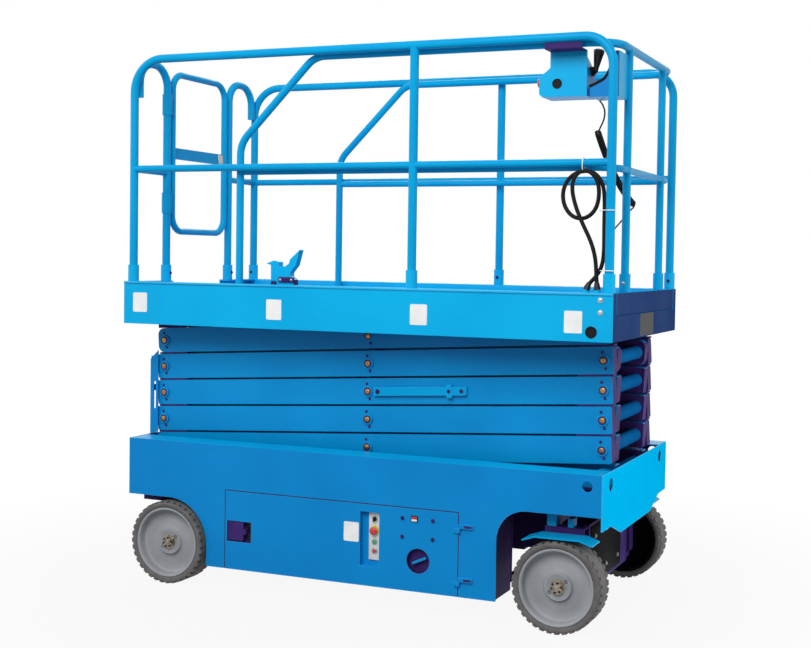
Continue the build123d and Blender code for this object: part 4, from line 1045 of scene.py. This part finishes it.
# studio
studio = {
    "floorSize": 60.0, "floorZ": -0.0005, "floor": "#8E9094", "floorRough": 0.9, "sky": 0.4,
    "fade": (1.2, 3.2), "glow": 0.92,
}
lamps = (
    # name, place, aim, size, power
    ("keyLamp", (0.6, -6.6, 5.6), (0, 0, 1.2), 4.0, 430),
    ("fillLamp", (-6.0, -3.0, 3.5), (0, 0, 1.0), 4.0, 80),
    ("frontLamp", (6.5, 0.5, 3.5), (0, 0, 1.0), 4.0, 60),
    ("noseLamp", (3.4, -0.4, 0.7), (1.18, 0, 0.62), 0.8, 20),
    ("backLamp", (-2.0, 6.0, 5.0), (0, 0, 1.2), 4.0, 200),
)


def seenDirect(tree):
    ray = addNode(tree, "ShaderNodeLightPath").outputs
    seen = ray["Is Camera Ray"]
    for kind in ("Is Glossy Ray", "Is Transmission Ray"):
        seen = addNode(tree, "ShaderNodeMath", links={0: seen, 1: ray[kind]}, operation="MAXIMUM").outputs[0]
    return seen


def makeStudio():
    only()
    bpy.ops.mesh.primitive_plane_add(size=studio["floorSize"], location=(0, 0, studio["floorZ"]))
    floor = settle("studioFloor")
    sheet = bpy.data.materials.new("studioPaper")
    sheet.use_nodes = True
    tree = sheet.node_tree
    shader = tree.nodes["Principled BSDF"]
    shader.inputs["Base Color"].default_value = hexColour(studio["floor"])
    shader.inputs["Roughness"].default_value = studio["floorRough"]
    # the sheet fades to plain white away from the machine, as the camera and reflections see it
    place = addNode(tree, "ShaderNodeTexCoord").outputs["Object"]
    reach = addNode(tree, "ShaderNodeVectorMath", links={0: place}, operation="LENGTH")
    near, far = studio["fade"]
    span = {"From Min": near, "From Max": far, "To Min": studio["glow"], "To Max": 1.0}
    fade = addNode(tree, "ShaderNodeMapRange", span, {"Value": reach.outputs["Value"]},
                   interpolation_type="SMOOTHSTEP")
    share = addNode(tree, "ShaderNodeMath", links={0: seenDirect(tree), 1: fade.outputs["Result"]},
                    operation="MULTIPLY")
    white = addNode(tree, "ShaderNodeEmission", {"Color": (1, 1, 1, 1), "Strength": 1.0})
    mixed = addNode(tree, "ShaderNodeMixShader",
                    links={0: share.outputs[0], 1: shader.outputs[0], 2: white.outputs[0]})
    tree.links.new(mixed.outputs[0], tree.nodes["Material Output"].inputs["Surface"])
    floor.data.materials.append(sheet)
    floor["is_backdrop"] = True
    world = bpy.data.worlds.new("studioSky")
    bpy.context.scene.world = world
    world.use_nodes = True
    tree = world.node_tree
    span = {"To Min": studio["sky"], "To Max": 1.0}
    level = addNode(tree, "ShaderNodeMapRange", span, {"Value": seenDirect(tree)})
    tree.links.new(level.outputs["Result"], tree.nodes["Background"].inputs["Strength"])
    tree.nodes["Background"].inputs["Color"].default_value = (1, 1, 1, 1)
    for name, place, aim, size, power in lamps:
        data = bpy.data.lights.new(name, "AREA")
        data.size = size
        data.energy = power
        lamp = bpy.data.objects.new(name, data)
        bpy.context.scene.collection.objects.link(lamp)
        lamp.location = place
        lamp.rotation_euler = (Vector(aim) - Vector(place)).to_track_quat("-Z", "Y").to_euler()


makeStudio()
bpy.data.objects.remove(bolt)
low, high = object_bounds()
print("scene ready")
